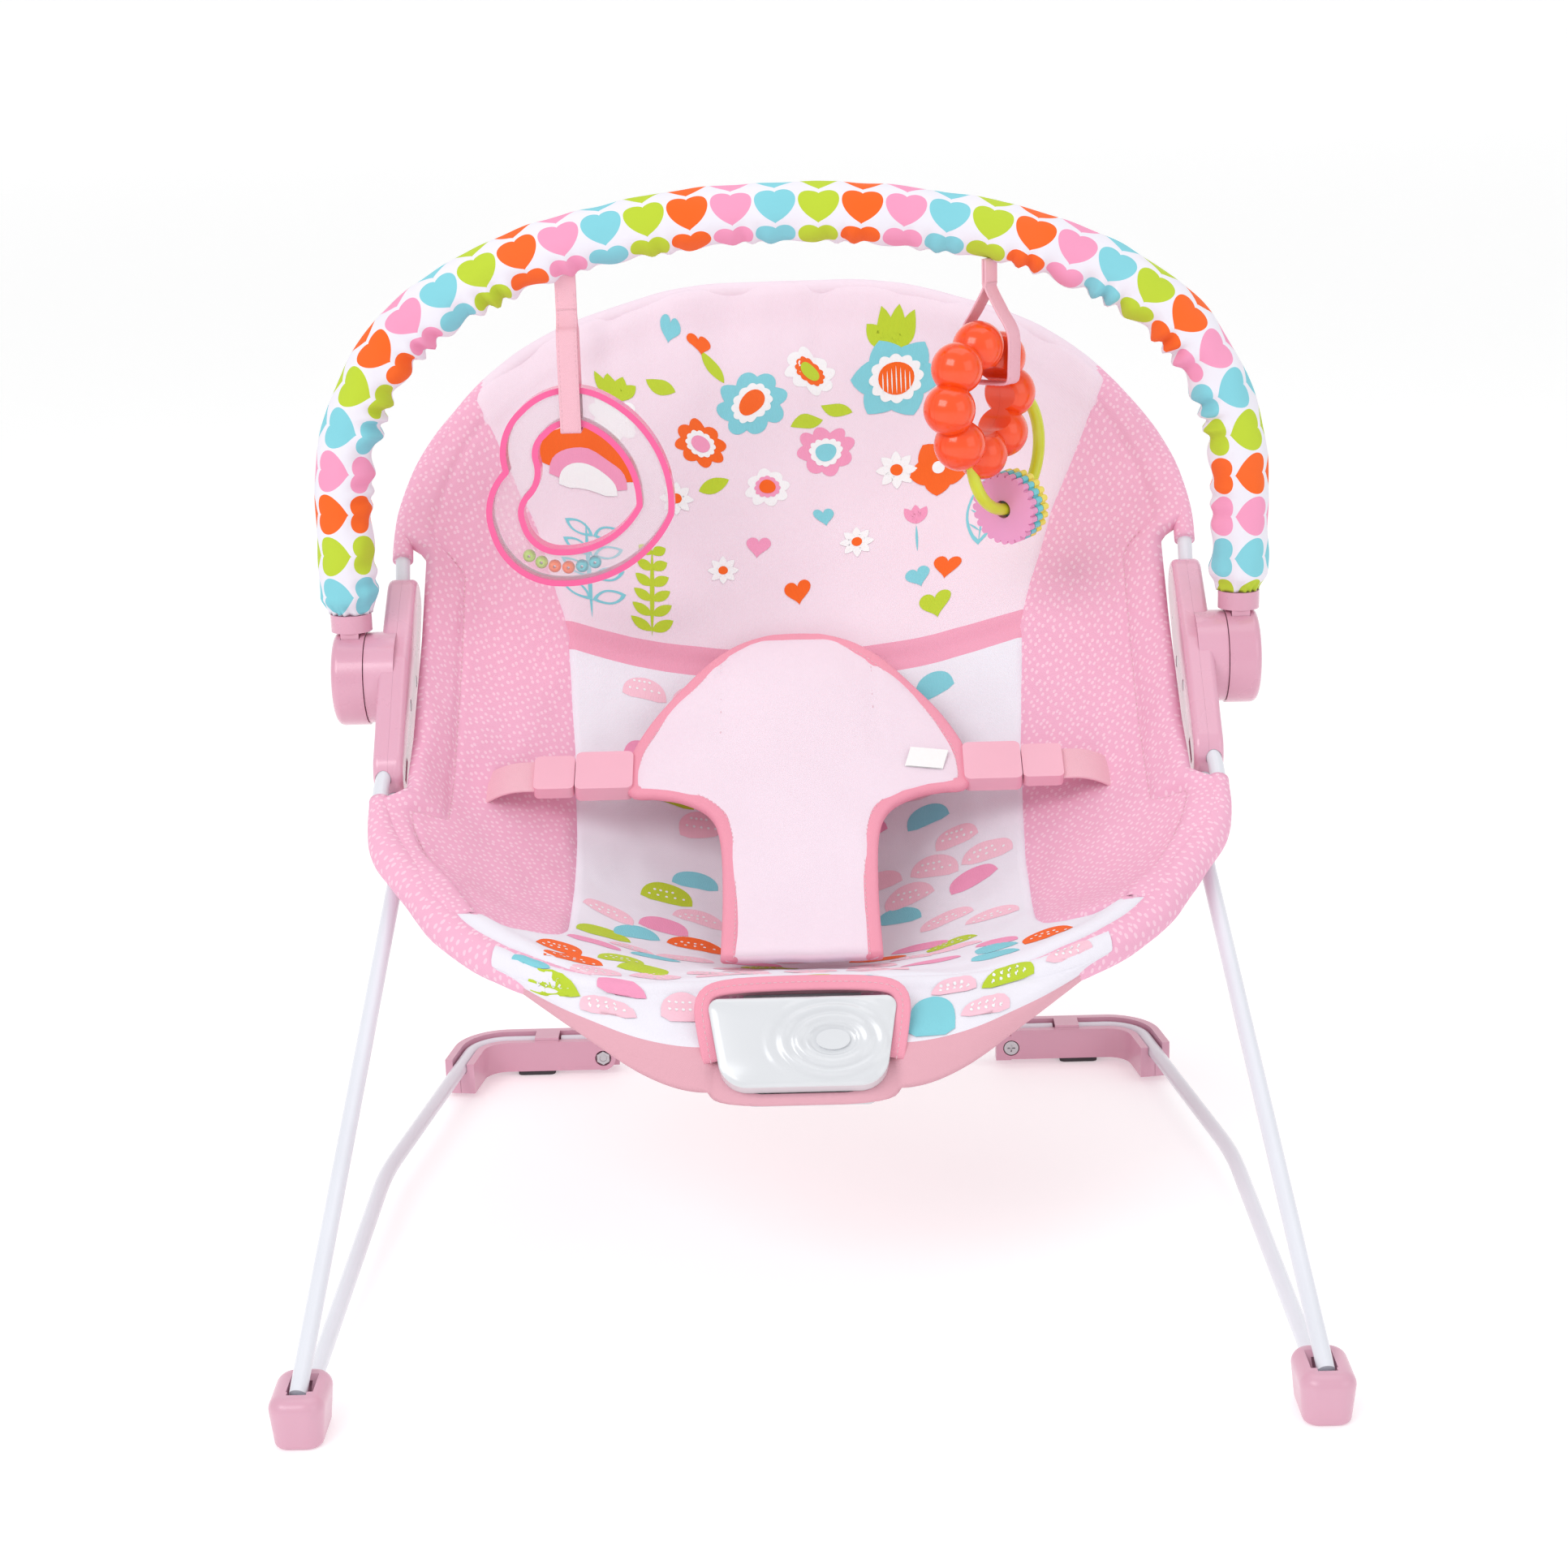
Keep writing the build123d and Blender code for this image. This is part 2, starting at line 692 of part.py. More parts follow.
def eccentric():
    """The half-round weight on the motor's shaft."""
    axis = unit_plane().from_local_coords((0, *MOTOR_AXIS))
    with BuildPart() as piece:
        with BuildSketch(Plane.YZ.offset(MOTOR_X + MOTOR_LENGTH + 1.6)):
            with Locations((axis.Y, axis.Z)):
                Circle(5.4)
                Rectangle(12, 6, align=(Align.CENTER, Align.MIN), mode=Mode.SUBTRACT)
                Circle(2.2)
                Circle(1.05, mode=Mode.SUBTRACT)
        extrude(amount=6)
    return piece


def motor():
    """The vibration motor and its shaft."""
    axis = unit_plane().from_local_coords((0, *MOTOR_AXIS))
    with BuildPart() as piece:
        with BuildSketch(Plane.YZ.offset(MOTOR_X)):
            with Locations((axis.Y, axis.Z)):
                Circle(6)
        extrude(amount=MOTOR_LENGTH)
        with BuildSketch(Plane.YZ.offset(MOTOR_X)):
            with Locations((axis.Y, axis.Z)):
                Circle(1.0)
        extrude(amount=MOTOR_LENGTH + 8.4)
    return piece


def button():
    """The oval push button with its flange behind the face."""
    with BuildPart() as piece:
        with BuildSketch(unit_plane(-4.4)):
            with Locations(BUTTON):
                Ellipse(BUTTON_SIZE[0] / 2, BUTTON_SIZE[1] / 2)
        extrude(amount=5.6)
        with BuildSketch(unit_plane(-4.4)):
            with Locations(BUTTON):
                Ellipse(BUTTON_SIZE[0] / 2 + 1.6, BUTTON_SIZE[1] / 2 + 1.6)
        extrude(amount=2.2)
    return piece


def circuit_board():
    """The board with the tactile switch under the button."""
    with BuildPart() as piece:
        with BuildSketch(unit_plane(-10.5)):
            with Locations((BUTTON[0], 22)):
                Rectangle(30, 26)
        extrude(amount=1.6)
        with BuildSketch(unit_plane(-8.9)):
            with Locations(BUTTON):
                Rectangle(6, 6)
        extrude(amount=2.4)
    return piece


def case_screws():
    """Two screws that hold the case halves together, put in from the back."""
    with BuildPart() as piece:
        with BuildSketch(unit_plane(-UNIT_DEPTH + UNIT_WALL + 0.1)):
            with Locations((-33, 32), (33, 32)):
                Circle(2.4)
        extrude(amount=1.6)
        with BuildSketch(unit_plane(-UNIT_DEPTH + UNIT_WALL + 0.1)):
            with Locations((-33, 32), (33, 32)):
                Circle(1.2)
        extrude(amount=22)
    return piece


def battery_contacts():
    """A spring plate at each end of the battery."""
    axis = unit_plane().from_local_coords((0, *BATTERY_AXIS))
    with BuildPart() as piece:
        for start_x in (-28.2, 26.6):
            with BuildSketch(Plane.YZ.offset(start_x)):
                with Locations(Location((axis.Y, axis.Z), UNIT_TILT)):
                    Rectangle(11, 11)
            extrude(amount=1.2)
    return piece


def battery_cover():
    """The door over the battery: an outer plate and a lip inside the opening."""
    with BuildPart() as piece:
        with BuildSketch(unit_plane(-UNIT_DEPTH - 2.0)):
            with Locations((0, 15)):
                RectangleRounded(60, 22, 3)
        extrude(amount=1.8)
        with BuildSketch(unit_plane(-UNIT_DEPTH - 0.3)):
            with Locations((0, 15)):
                RectangleRounded(54, 16, 2)
        extrude(amount=1.2)
        with BuildSketch(unit_plane(-UNIT_DEPTH - 2.0)):
            with Locations((0, 22)):
                Circle(1.5)
        extrude(amount=4, mode=Mode.SUBTRACT)
    return piece


def door_screw():
    """The screw that keeps the battery door shut."""
    with BuildPart() as piece:
        with BuildSketch(unit_plane(-UNIT_DEPTH - 3.4)):
            with Locations((0, 22)):
                Circle(2.6)
        extrude(amount=1.35)
        with BuildSketch(unit_plane(-UNIT_DEPTH - 3.4)):
            with Locations((0, 22)):
                Circle(1.3)
        extrude(amount=4.2)
    return piece


save(case_front(), "vib_case_front")
save(case_back(), "vib_case_back")
save(unit_cylinder(-25.2, 50.4, *BATTERY_AXIS, 7.0), "vib_battery")
save(battery_contacts(), "battery_contacts")
save(motor(), "vib_motor")
save(eccentric(), "vib_eccentric")
save(circuit_board(), "vib_circuit_board")
save(case_screws(), "vib_case_screws")
save(unit_block(LIGHT, (2.8, 2.8), -5.0, -0.3, corner=1.3), "status_light")
save(button(), "vib_button")
save(battery_cover(), "battery_door")
save(door_screw(), "battery_door_screw")

# =====================================================================
# Toy bar: sockets, plugs, core and padded cover
# =====================================================================


def bar_points():
    """The bar's centre line, from one end over the crown to the other."""
    y = PIVOT[0]
    half = [(BAR_X, y, BAR_END_Z)] + [(x, y, z) for x, z in BAR_CORNERS]
    return half + [(-x, py, z) for x, py, z in half[::-1]]


BAR_RADII = BAR_CORNER_RADII + BAR_CORNER_RADII[::-1]


def bar_socket():
    """The right-hand disc that turns on the hub and takes the bar's plug."""
    with BuildPart() as piece:
        with BuildSketch(Plane.YZ.offset(SOCKET_X[0])):
            with Locations(PIVOT):
                Circle(SOCKET_RADIUS)
        extrude(amount=SOCKET_X[1] - SOCKET_X[0])
        fillet(piece.faces().sort_by(Axis.X)[-1].edges(), 4)
        with BuildSketch(Plane.YZ.offset(SOCKET_X[0])):
            with Locations(PIVOT):
                Circle(STUB_RADIUS)
        extrude(amount=-9.2)
        with BuildSketch(Plane.XY.offset(PIVOT[1] + SOCKET_RADIUS + 1)):
            with Locations((BAR_X, PIVOT[0])):
                Rectangle(TONGUE[0] + 0.6, TONGUE[1] + 0.6)
        extrude(amount=-TONGUE[2] - 3, mode=Mode.SUBTRACT)
    return piece


def bar_plugs():
    """The plug at each end of the bar: a flat tongue, a collar and a spigot."""
    with BuildPart() as piece:
        for _, sign in SIDES:
            with BuildSketch(Plane.XY.offset(COLLAR_Z)):
                with Locations((sign * BAR_X, PIVOT[0])):
                    Rectangle(TONGUE[0], TONGUE[1])
            extrude(amount=-TONGUE[2])
            with BuildSketch(Plane.XY.offset(COLLAR_Z)):
                with Locations((sign * BAR_X, PIVOT[0])):
                    Circle(11)
            extrude(amount=BAR_END_Z - COLLAR_Z - 0.2)
            with BuildSketch(Plane.XY.offset(BAR_END_Z - 0.5)):
                with Locations((sign * BAR_X, PIVOT[0])):
                    Circle(4.9)
            extrude(amount=22)
    return piece


right_socket = bar_socket()
save(right_socket, "toy_bar_socket_right")
save(mirrored(right_socket), "toy_bar_socket_left")
save(bar_plugs(), "toy_bar_plugs")
save(rod(bar_points(), BAR_RADII, CORE_DIAMETER, bore=10.2), "toy_bar_core")
save(
    rod(bar_points(), BAR_RADII, COVER_DIAMETER, bore=CORE_DIAMETER + 0.6),
    "toy_bar_cover",
)

# =====================================================================
# Left toy: heart rattle on a strap loop
# =====================================================================

Y_TOYS = PIVOT[0]
HEART_PLANE = Plane(
    origin=(HEART_NOTCH[0], Y_TOYS, HEART_NOTCH[1]),
    x_dir=(cos(radians(HEART_TURN)), 0, sin(radians(HEART_TURN))),
    z_dir=(0, -1, 0),
)


def strap_loop(plane, top, stitch, bottom, half_gap):
    """A webbing loop with a doubled stem; the plane's X is across the loop's opening."""
    outer = half_gap + STRAP_THICKNESS
    with BuildPart() as piece:
        with BuildSketch(plane):
            with BuildLine():
                Polyline(
                    (-STRAP_THICKNESS, top),
                    (STRAP_THICKNESS, top),
                    (STRAP_THICKNESS, stitch),
                    (outer, stitch - LOOP_SLOPE * half_gap),
                    (outer, bottom),
                    (-outer, bottom),
                    (-outer, stitch - LOOP_SLOPE * half_gap),
                    (-STRAP_THICKNESS, stitch),
                    close=True,
                )
            make_face()
            with BuildLine():
                Polyline(
                    (0, stitch - 2),
                    (half_gap, stitch - LOOP_SLOPE * half_gap - 1),
                    (half_gap, bottom + STRAP_THICKNESS),
                    (-half_gap, bottom + STRAP_THICKNESS),
                    (-half_gap, stitch - LOOP_SLOPE * half_gap - 1),
                    close=True,
                )
            make_face(mode=Mode.SUBTRACT)
        extrude(amount=STRAP_WIDTH / 2, both=True)
    return piece


def heart_outline(inset=0.0):
    """A heart lying on its side: notch at the origin, tip on +X."""
    with BuildSketch(Plane.XY) as outline:
        with BuildLine():
            for side in (1, -1):
                ThreePointArc((0, 0), (-4.5, 17 * side), (1, 34 * side))
                ThreePointArc((1, 34 * side), (17, 49.5 * side), (43, 52.5 * side))
                ThreePointArc((43, 52.5 * side), (74, 36 * side), (93, 0))
        make_face()
        if inset:
            offset(amount=-inset, kind=Kind.ARC, mode=Mode.REPLACE)
    return outline.sketch


def heart_band(outer_inset, inner_inset, low, high):
    """A band of the heart between two insets and two depths, front is positive."""
    with BuildPart() as piece:
        with BuildSketch(HEART_PLANE.offset(low)):
            add(heart_outline(outer_inset))
            add(heart_outline(inner_inset), mode=Mode.SUBTRACT)
        extrude(amount=high - low)
    return piece


def rattle_shell(front):
    """One clear half of the rattle's channel."""
    half = HEART_HALF_THICKNESS - 0.4
    low, high = (0.05, half) if front else (-half, -0.05)
    floor_low, floor_high = (0, half - 1.2) if front else (-half + 1.2, 0)
    with BuildPart() as piece:
        add(heart_band(RIM + 0.1, HEART_BAND - RIM - 0.1, low, high).part)
        cavity = heart_band(RIM + 1.4, HEART_BAND - RIM - 1.4, floor_low, floor_high)
        add(cavity.part, mode=Mode.SUBTRACT)
    return piece


def rattle_rims():
    """The coloured rims along the heart's outer and inner edges."""
    half = HEART_HALF_THICKNESS
    with BuildPart() as piece:
        add(heart_band(0, RIM, -half, half).part)
        add(heart_band(HEART_BAND - RIM, HEART_BAND, -half, half).part)
    return piece


def rattle_beads():
    """Six beads resting at the bottom of the channel."""
    with BuildPart() as piece:
        for i in range(6):
            angle = radians(-97 + (i - 2.5) * BEAD_PITCH)
            x = BEAD_CENTRE[0] + BEAD_ORBIT * cos(angle)
            z = BEAD_CENTRE[1] + BEAD_ORBIT * sin(angle)
            with Locations((x, Y_TOYS, z)):
                Sphere(BEAD_DIAMETER / 2)
    return piece


left_strap_plane = Plane(
    origin=(HEART_STRAP[0], Y_TOYS, 0), x_dir=(0, 1, 0), z_dir=(1, 0, 0)
)
save(strap_loop(left_strap_plane, 468.6, 456, HEART_STRAP[1], 7.2), "toy_strap_left")
save(rattle_shell(True), "rattle_shell_front")
save(rattle_shell(False), "rattle_shell_back")
save(rattle_rims(), "rattle_rims")
save(rattle_beads(), "rattle_beads")

# =====================================================================
# Right toy: flower ring with a hoop of three notched discs
# =====================================================================

RING_ACROSS = (cos(radians(RING_TURN)), sin(radians(RING_TURN)), 0)
RING_PLANE = Plane(
    origin=RING_CENTRE,
    x_dir=RING_ACROSS,
    z_dir=(sin(radians(RING_TURN)), -cos(radians(RING_TURN)), 0),
)


def bulb_ring(bulb_radius, hole_radius):
    """Eight round bulbs in a ring, with a plain hole through the middle."""
    first = RING_STRAP_ANGLE + 180 / BULBS
    with BuildPart() as piece:
        for i in range(BULBS):
            angle = radians(first + 360 * i / BULBS)
            centre = RING_PLANE.from_local_coords(
                (RING_ORBIT * cos(angle), RING_ORBIT * sin(angle), 0)
            )
            with Locations(centre):
                Sphere(bulb_radius)
        with BuildSketch(RING_PLANE):
            Circle(hole_radius)
        extrude(amount=30, both=True, mode=Mode.SUBTRACT)
    return piece


def hoop(diameter=HOOP_DIAMETER):
    """The open hoop whose two ends are held inside the flower ring."""
    with BuildPart() as piece:
        with BuildLine(RING_PLANE) as route:
            CenterArc(HOOP_CENTRE, HOOP_RADIUS, start_angle=182, arc_size=258)
        path = route.wires()[0]
        with BuildSketch(Plane(origin=path @ 0, z_dir=path % 0)):
            Circle(diameter / 2)
        sweep(path=path)
    return piece


def ring_half(front, whole):
    """The front or rear half of the hollow flower ring."""
    with BuildPart() as piece:
        add(whole.part)
        keep = Keep.TOP if front else Keep.BOTTOM
        split(bisect_by=RING_PLANE.offset(0.03 if front else -0.03), keep=keep)
    return piece


def flower_ring():
    """Both halves in one piece: a hollow wall with the hoop's holes."""
    with BuildPart() as piece:
        add(bulb_ring(BULB_RADIUS, RING_HOLE).part)
        inside = bulb_ring(BULB_RADIUS - RING_WALL, RING_HOLE + RING_WALL)
        add(inside.part, mode=Mode.SUBTRACT)
        add(hoop(HOOP_DIAMETER + 0.3).part, mode=Mode.SUBTRACT)
    return piece


def gear(index):
    """A notched disc with radial grooves on its front, threaded on the hoop."""
    middle_angle = radians(274)
    tangent = -sin(middle_angle), cos(middle_angle)
    shift = (index - 0.6) * GEAR_PITCH
    local = (
        HOOP_CENTRE[0] + HOOP_RADIUS * cos(middle_angle) + shift * tangent[0],
        HOOP_CENTRE[1] + HOOP_RADIUS * sin(middle_angle) + shift * tangent[1] + 0.3,
        0,
    )
    origin = RING_PLANE.from_local_coords(local)
    axis = Vector(*RING_ACROSS) * tangent[0] + Vector(0, 0, 1) * tangent[1]
    notches = 24
    with BuildPart() as piece:
        face = Plane(origin=origin - axis * (GEAR_THICKNESS / 2), z_dir=axis)
        with BuildSketch(face):
            Circle(GEAR_RADIUS - 1.2)
            with PolarLocations(GEAR_RADIUS - 1.2, notches):
                Circle(1.9)
            Circle(GEAR_HOLE / 2, mode=Mode.SUBTRACT)
        extrude(amount=GEAR_THICKNESS)
    return piece


ring_body = flower_ring()
save(ring_half(True, ring_body), "flower_ring_front")
save(ring_half(False, ring_body), "flower_ring_back")
save(hoop(), "green_hoop")
for number, colour in enumerate(("pink", "blue", "yellow")):
    save(gear(number), f"gear_{colour}")

strap_centre = RING_PLANE.from_local_coords(
    (
        RING_ORBIT * cos(radians(RING_STRAP_ANGLE)),
        RING_ORBIT * sin(radians(RING_STRAP_ANGLE)),
        0,
    )
)
right_strap_plane = Plane(
    origin=(strap_centre.X, strap_centre.Y, 0),
    x_dir=(-sin(radians(RING_TURN)), cos(radians(RING_TURN)), 0),
    z_dir=RING_ACROSS,
)
save(
    strap_loop(right_strap_plane, 470.5, 464, RING_CENTRE[2] + 7.6, 13.6),
    "toy_strap_right",
)
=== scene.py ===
"""Looks for the bouncer seat: cloth, print, stitching, plastics, and the studio round it."""

import json
import random
from math import atan2, cos, pi, radians, sin, sqrt

import bmesh
import bpy
import numpy as np
from mathutils import Matrix, Vector, noise
from mathutils.bvhtree import BVHTree

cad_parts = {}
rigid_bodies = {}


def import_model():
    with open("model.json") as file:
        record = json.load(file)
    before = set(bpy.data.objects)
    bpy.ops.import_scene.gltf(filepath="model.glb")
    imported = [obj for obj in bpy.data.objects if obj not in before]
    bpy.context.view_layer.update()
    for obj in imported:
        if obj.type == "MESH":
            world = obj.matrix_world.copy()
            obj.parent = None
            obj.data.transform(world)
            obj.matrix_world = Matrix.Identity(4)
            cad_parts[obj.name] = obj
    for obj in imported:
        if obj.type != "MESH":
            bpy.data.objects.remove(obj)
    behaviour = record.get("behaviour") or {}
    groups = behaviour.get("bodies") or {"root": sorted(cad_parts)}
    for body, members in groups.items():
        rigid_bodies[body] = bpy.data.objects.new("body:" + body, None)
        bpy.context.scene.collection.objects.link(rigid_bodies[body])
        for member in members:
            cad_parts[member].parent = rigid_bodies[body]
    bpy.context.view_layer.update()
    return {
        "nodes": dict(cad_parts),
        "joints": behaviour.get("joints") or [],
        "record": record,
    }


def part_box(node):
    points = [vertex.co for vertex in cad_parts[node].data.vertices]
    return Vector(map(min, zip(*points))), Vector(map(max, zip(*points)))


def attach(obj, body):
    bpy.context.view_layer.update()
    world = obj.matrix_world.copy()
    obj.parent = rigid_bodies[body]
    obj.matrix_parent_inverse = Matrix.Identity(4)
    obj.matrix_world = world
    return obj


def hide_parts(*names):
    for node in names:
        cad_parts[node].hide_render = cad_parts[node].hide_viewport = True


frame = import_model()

MM = 0.001
joint = {j["name"]: j for j in frame["joints"]}
pivot = Vector(joint["toy_bar_pivot"]["pos_m"])
front_y = joint["seat_bounce"]["pos_m"][1]
hub_low = pivot + Vector((0, -36, -26)) * MM  # where the seat-front tube ends
hub_high = pivot + Vector((0, 20, 16)) * MM  # where the seat-back tube ends
unit_origin = Vector((0, front_y + 89 * MM, 125.5 * MM))
UNIT_TILT = radians(50)


def smooth(t):
    t = min(max(t, 0.0), 1.0)
    return t * t * (3 - 2 * t)


def lerp(a, b, t):
    return a + (b - a) * t


def waves(x, y, z):
    """Smooth noise, about -1 to 1."""
    return noise.noise(Vector((x, y, z)))


# ---------------------------------------------------------------- materials


class Val:
    """A shader value that can be written as a formula."""

    def __init__(self, tree, socket):
        self.tree, self.socket = tree, socket

    def __add__(self, other):
        return maths(self.tree, "ADD", self, other)

    def __sub__(self, other):
        return maths(self.tree, "SUBTRACT", self, other)

    def __mul__(self, other):
        return maths(self.tree, "MULTIPLY", self, other)


def maths(tree, kind, *values):
    node = tree.nodes.new("ShaderNodeMath")
    node.operation = kind
    for i, value in enumerate(values):
        if isinstance(value, Val):
            tree.links.new(value.socket, node.inputs[i])
        else:
            node.inputs[i].default_value = value
    return Val(tree, node.outputs[0])


def mix(tree, factor, a, b):
    """Colour a where factor is 0, b where it is 1."""
    node = tree.nodes.new("ShaderNodeMix")
    node.data_type = "RGBA"
    for index, value in ((0, factor), (6, a), (7, b)):
        if isinstance(value, Val):
            tree.links.new(value.socket, node.inputs[index])
        elif isinstance(value, (int, float)):
            node.inputs[index].default_value = value
        else:
            node.inputs[index].default_value = (*value, 1.0)
    return Val(tree, node.outputs[2])


def feed(tree, node, **values):
    """Sets or links inputs by name, with _ for a space."""
    for key, value in values.items():
        socket = node.inputs[key.replace("_", " ")]
        if isinstance(value, Val):
            tree.links.new(value.socket, socket)
        else:
            socket.default_value = value


def coordinate(tree, kind="Object"):
    return Val(tree, tree.nodes.new("ShaderNodeTexCoord").outputs[kind])


def noise_value(tree, scale, detail=2.0):
    node = tree.nodes.new("ShaderNodeTexNoise")
    feed(tree, node, Scale=scale, Detail=detail, Vector=coordinate(tree))
    return Val(tree, node.outputs["Fac"])


def uv_parts(tree):
    node = tree.nodes.new("ShaderNodeSeparateXYZ")
    feed(tree, node, Vector=coordinate(tree, "UV"))
    return Val(tree, node.outputs[0]), Val(tree, node.outputs[1])


def bump(tree, shader, height, strength, distance):
    node = tree.nodes.new("ShaderNodeBump")
    feed(tree, node, Strength=strength, Distance=distance, Height=height)
    tree.links.new(node.outputs[0], shader.inputs["Normal"])


def begin(name):
    mat = bpy.data.materials.new(name)
    mat.use_nodes = True
    return mat, mat.node_tree, mat.node_tree.nodes["Principled BSDF"]


def shade(colour, amount):
    return tuple(min(1.0, c * amount) for c in colour)


def plastic(name, colour, rough=0.3, coat=0.3, grain=0.03, glow=0.0, metal=0.0):
    """Moulded plastic, paint or metal: slight mottling, uneven gloss and a fine grain."""
    mat, tree, shader = begin(name)
    broad = noise_value(tree, 22.0, 3.0)
    tint = mix(tree, broad, shade(colour, 0.95), shade(colour, 1.04))
    gloss = noise_value(tree, 60.0, 4.0) * (rough * 0.3) + rough * 0.85
    feed(tree, shader, Base_Color=tint, Roughness=gloss, Metallic=metal)
    feed(tree, shader, Coat_Weight=coat, Coat_Roughness=0.12)
    if glow:
        feed(tree, shader, Subsurface_Weight=glow, Subsurface_Radius=(0.004, 0.002, 0.002))
    bump(tree, shader, noise_value(tree, 900.0, 2.0), grain, 0.0004)
    return mat


def weave(tree, pitch=0.0011):
    """Height of a plain weave that follows the UV grid, in metres."""
    u, v = uv_parts(tree)
    rate = 2 * pi / pitch
    warp = maths(tree, "SINE", u * rate)
    weft = maths(tree, "SINE", v * rate)
    return warp * weft * 0.5 + noise_value(tree, 500.0, 2.0)


def cloth_shader(tree, shader, colour, strength=0.25, sheen=0.06):
    """Finishes a cloth: colour in, weave bump, soft sheen."""
    blotch = noise_value(tree, 14.0, 3.0)
    dark = tree.nodes.new("ShaderNodeHueSaturation")
    feed(tree, dark, Saturation=1.05, Value=0.94, Color=colour)
    final = mix(tree, blotch, Val(tree, dark.outputs[0]), colour)
    feed(tree, shader, Base_Color=final, Roughness=0.85, Specular_IOR_Level=0.15)
    feed(tree, shader, Sheen_Weight=sheen, Sheen_Roughness=0.5)
    bump(tree, shader, weave(tree), strength, 0.0003)


def plain_cloth(name, colour, strength=0.25, sheen=0.06):
    mat, tree, shader = begin(name)
    flat = mix(tree, noise_value(tree, 300.0, 2.0), shade(colour, 0.97), colour)
    cloth_shader(tree, shader, flat, strength, sheen)
    return mat


def rice_cloth(name, ground, dot):
    """Cloth printed all over with small pale grains."""
    mat, tree, shader = begin(name)
    u, v = uv_parts(tree)
    place = tree.nodes.new("ShaderNodeCombineXYZ")
    feed(tree, place, X=u * 0.85 + v * 0.5, Y=v * 0.8 - u * 0.6)
    cells = tree.nodes.new("ShaderNodeTexVoronoi")
    cells.voronoi_dimensions = "2D"
    feed(tree, cells, Scale=275.0, Randomness=0.55, Vector=Val(tree, place.outputs[0]))
    shown = maths(tree, "LESS_THAN", Val(tree, cells.outputs["Distance"]), 0.24)
    colour = mix(tree, shown * 0.55, ground, dot)
    cloth_shader(tree, shader, colour)
    return mat


def heart_cloth(name, ground, colours, pitch, rows):
    """White cloth with columns of hearts, each column in one colour; V goes round the bar."""
    mat, tree, shader = begin(name)
    u, v = uv_parts(tree)
    along = u * (1 / pitch) + 42.31
    round_it = v * rows
    column = maths(tree, "FLOOR", along)
    x = (maths(tree, "FRACT", along) - 0.5) * 2.42
    y = (maths(tree, "FRACT", round_it) - 0.5) * 2.36 + 0.1
    ring = x * x + y * y - 1.0
    body = ring * ring * ring - x * x * y * y * y
    inside = maths(tree, "LESS_THAN", body, 0.0)
    phase = maths(tree, "FLOORED_MODULO", column, 4.0)
    colour = colours[0]
    for index in (1, 2, 3):
        later = maths(tree, "GREATER_THAN", phase, index - 0.5)
        colour = mix(tree, later, colour, colours[index])
    printed = mix(tree, inside, ground, colour)
    cloth_shader(tree, shader, printed, 0.2)
    return mat


def seat_cloth(name, pale, stripe, white, stripe_y):
    """Pale cloth with one stripe across, white below it; V is the distance from the front."""
    mat, tree, shader = begin(name)
    _, v = uv_parts(tree)
    above = maths(tree, "GREATER_THAN", v, stripe_y[1])
    low = maths(tree, "GREATER_THAN", v, stripe_y[0])
    colour = mix(tree, above, mix(tree, low, white, stripe), pale)
    cloth_shader(tree, shader, colour)
    return mat


def clear_plastic(name):
    mat, tree, shader = begin(name)
    gloss = noise_value(tree, 60.0, 3.0) * 0.08 + 0.06
    feed(tree, shader, Base_Color=(0.95, 0.86, 0.92, 1), Alpha=0.1, Coat_Weight=0.6)
    feed(tree, shader, Roughness=gloss)
    bump(tree, shader, noise_value(tree, 60.0, 3.0), 0.12, 0.001)
    return mat


def srgb(red, green, blue):
    """A linear colour from the 0 to 255 values that a screen shows."""
    parts = (red / 255, green / 255, blue / 255)
    return tuple(c / 12.92 if c < 0.04 else ((c + 0.055) / 1.055) ** 2.4 for c in parts)


ORANGE = srgb(246, 112, 60)
AQUA = srgb(136, 208, 220)
LIME = srgb(190, 211, 68)
PRINT_PINK = srgb(242, 160, 194)
WHITE = srgb(237, 234, 243)
PALE = srgb(241, 222, 234)

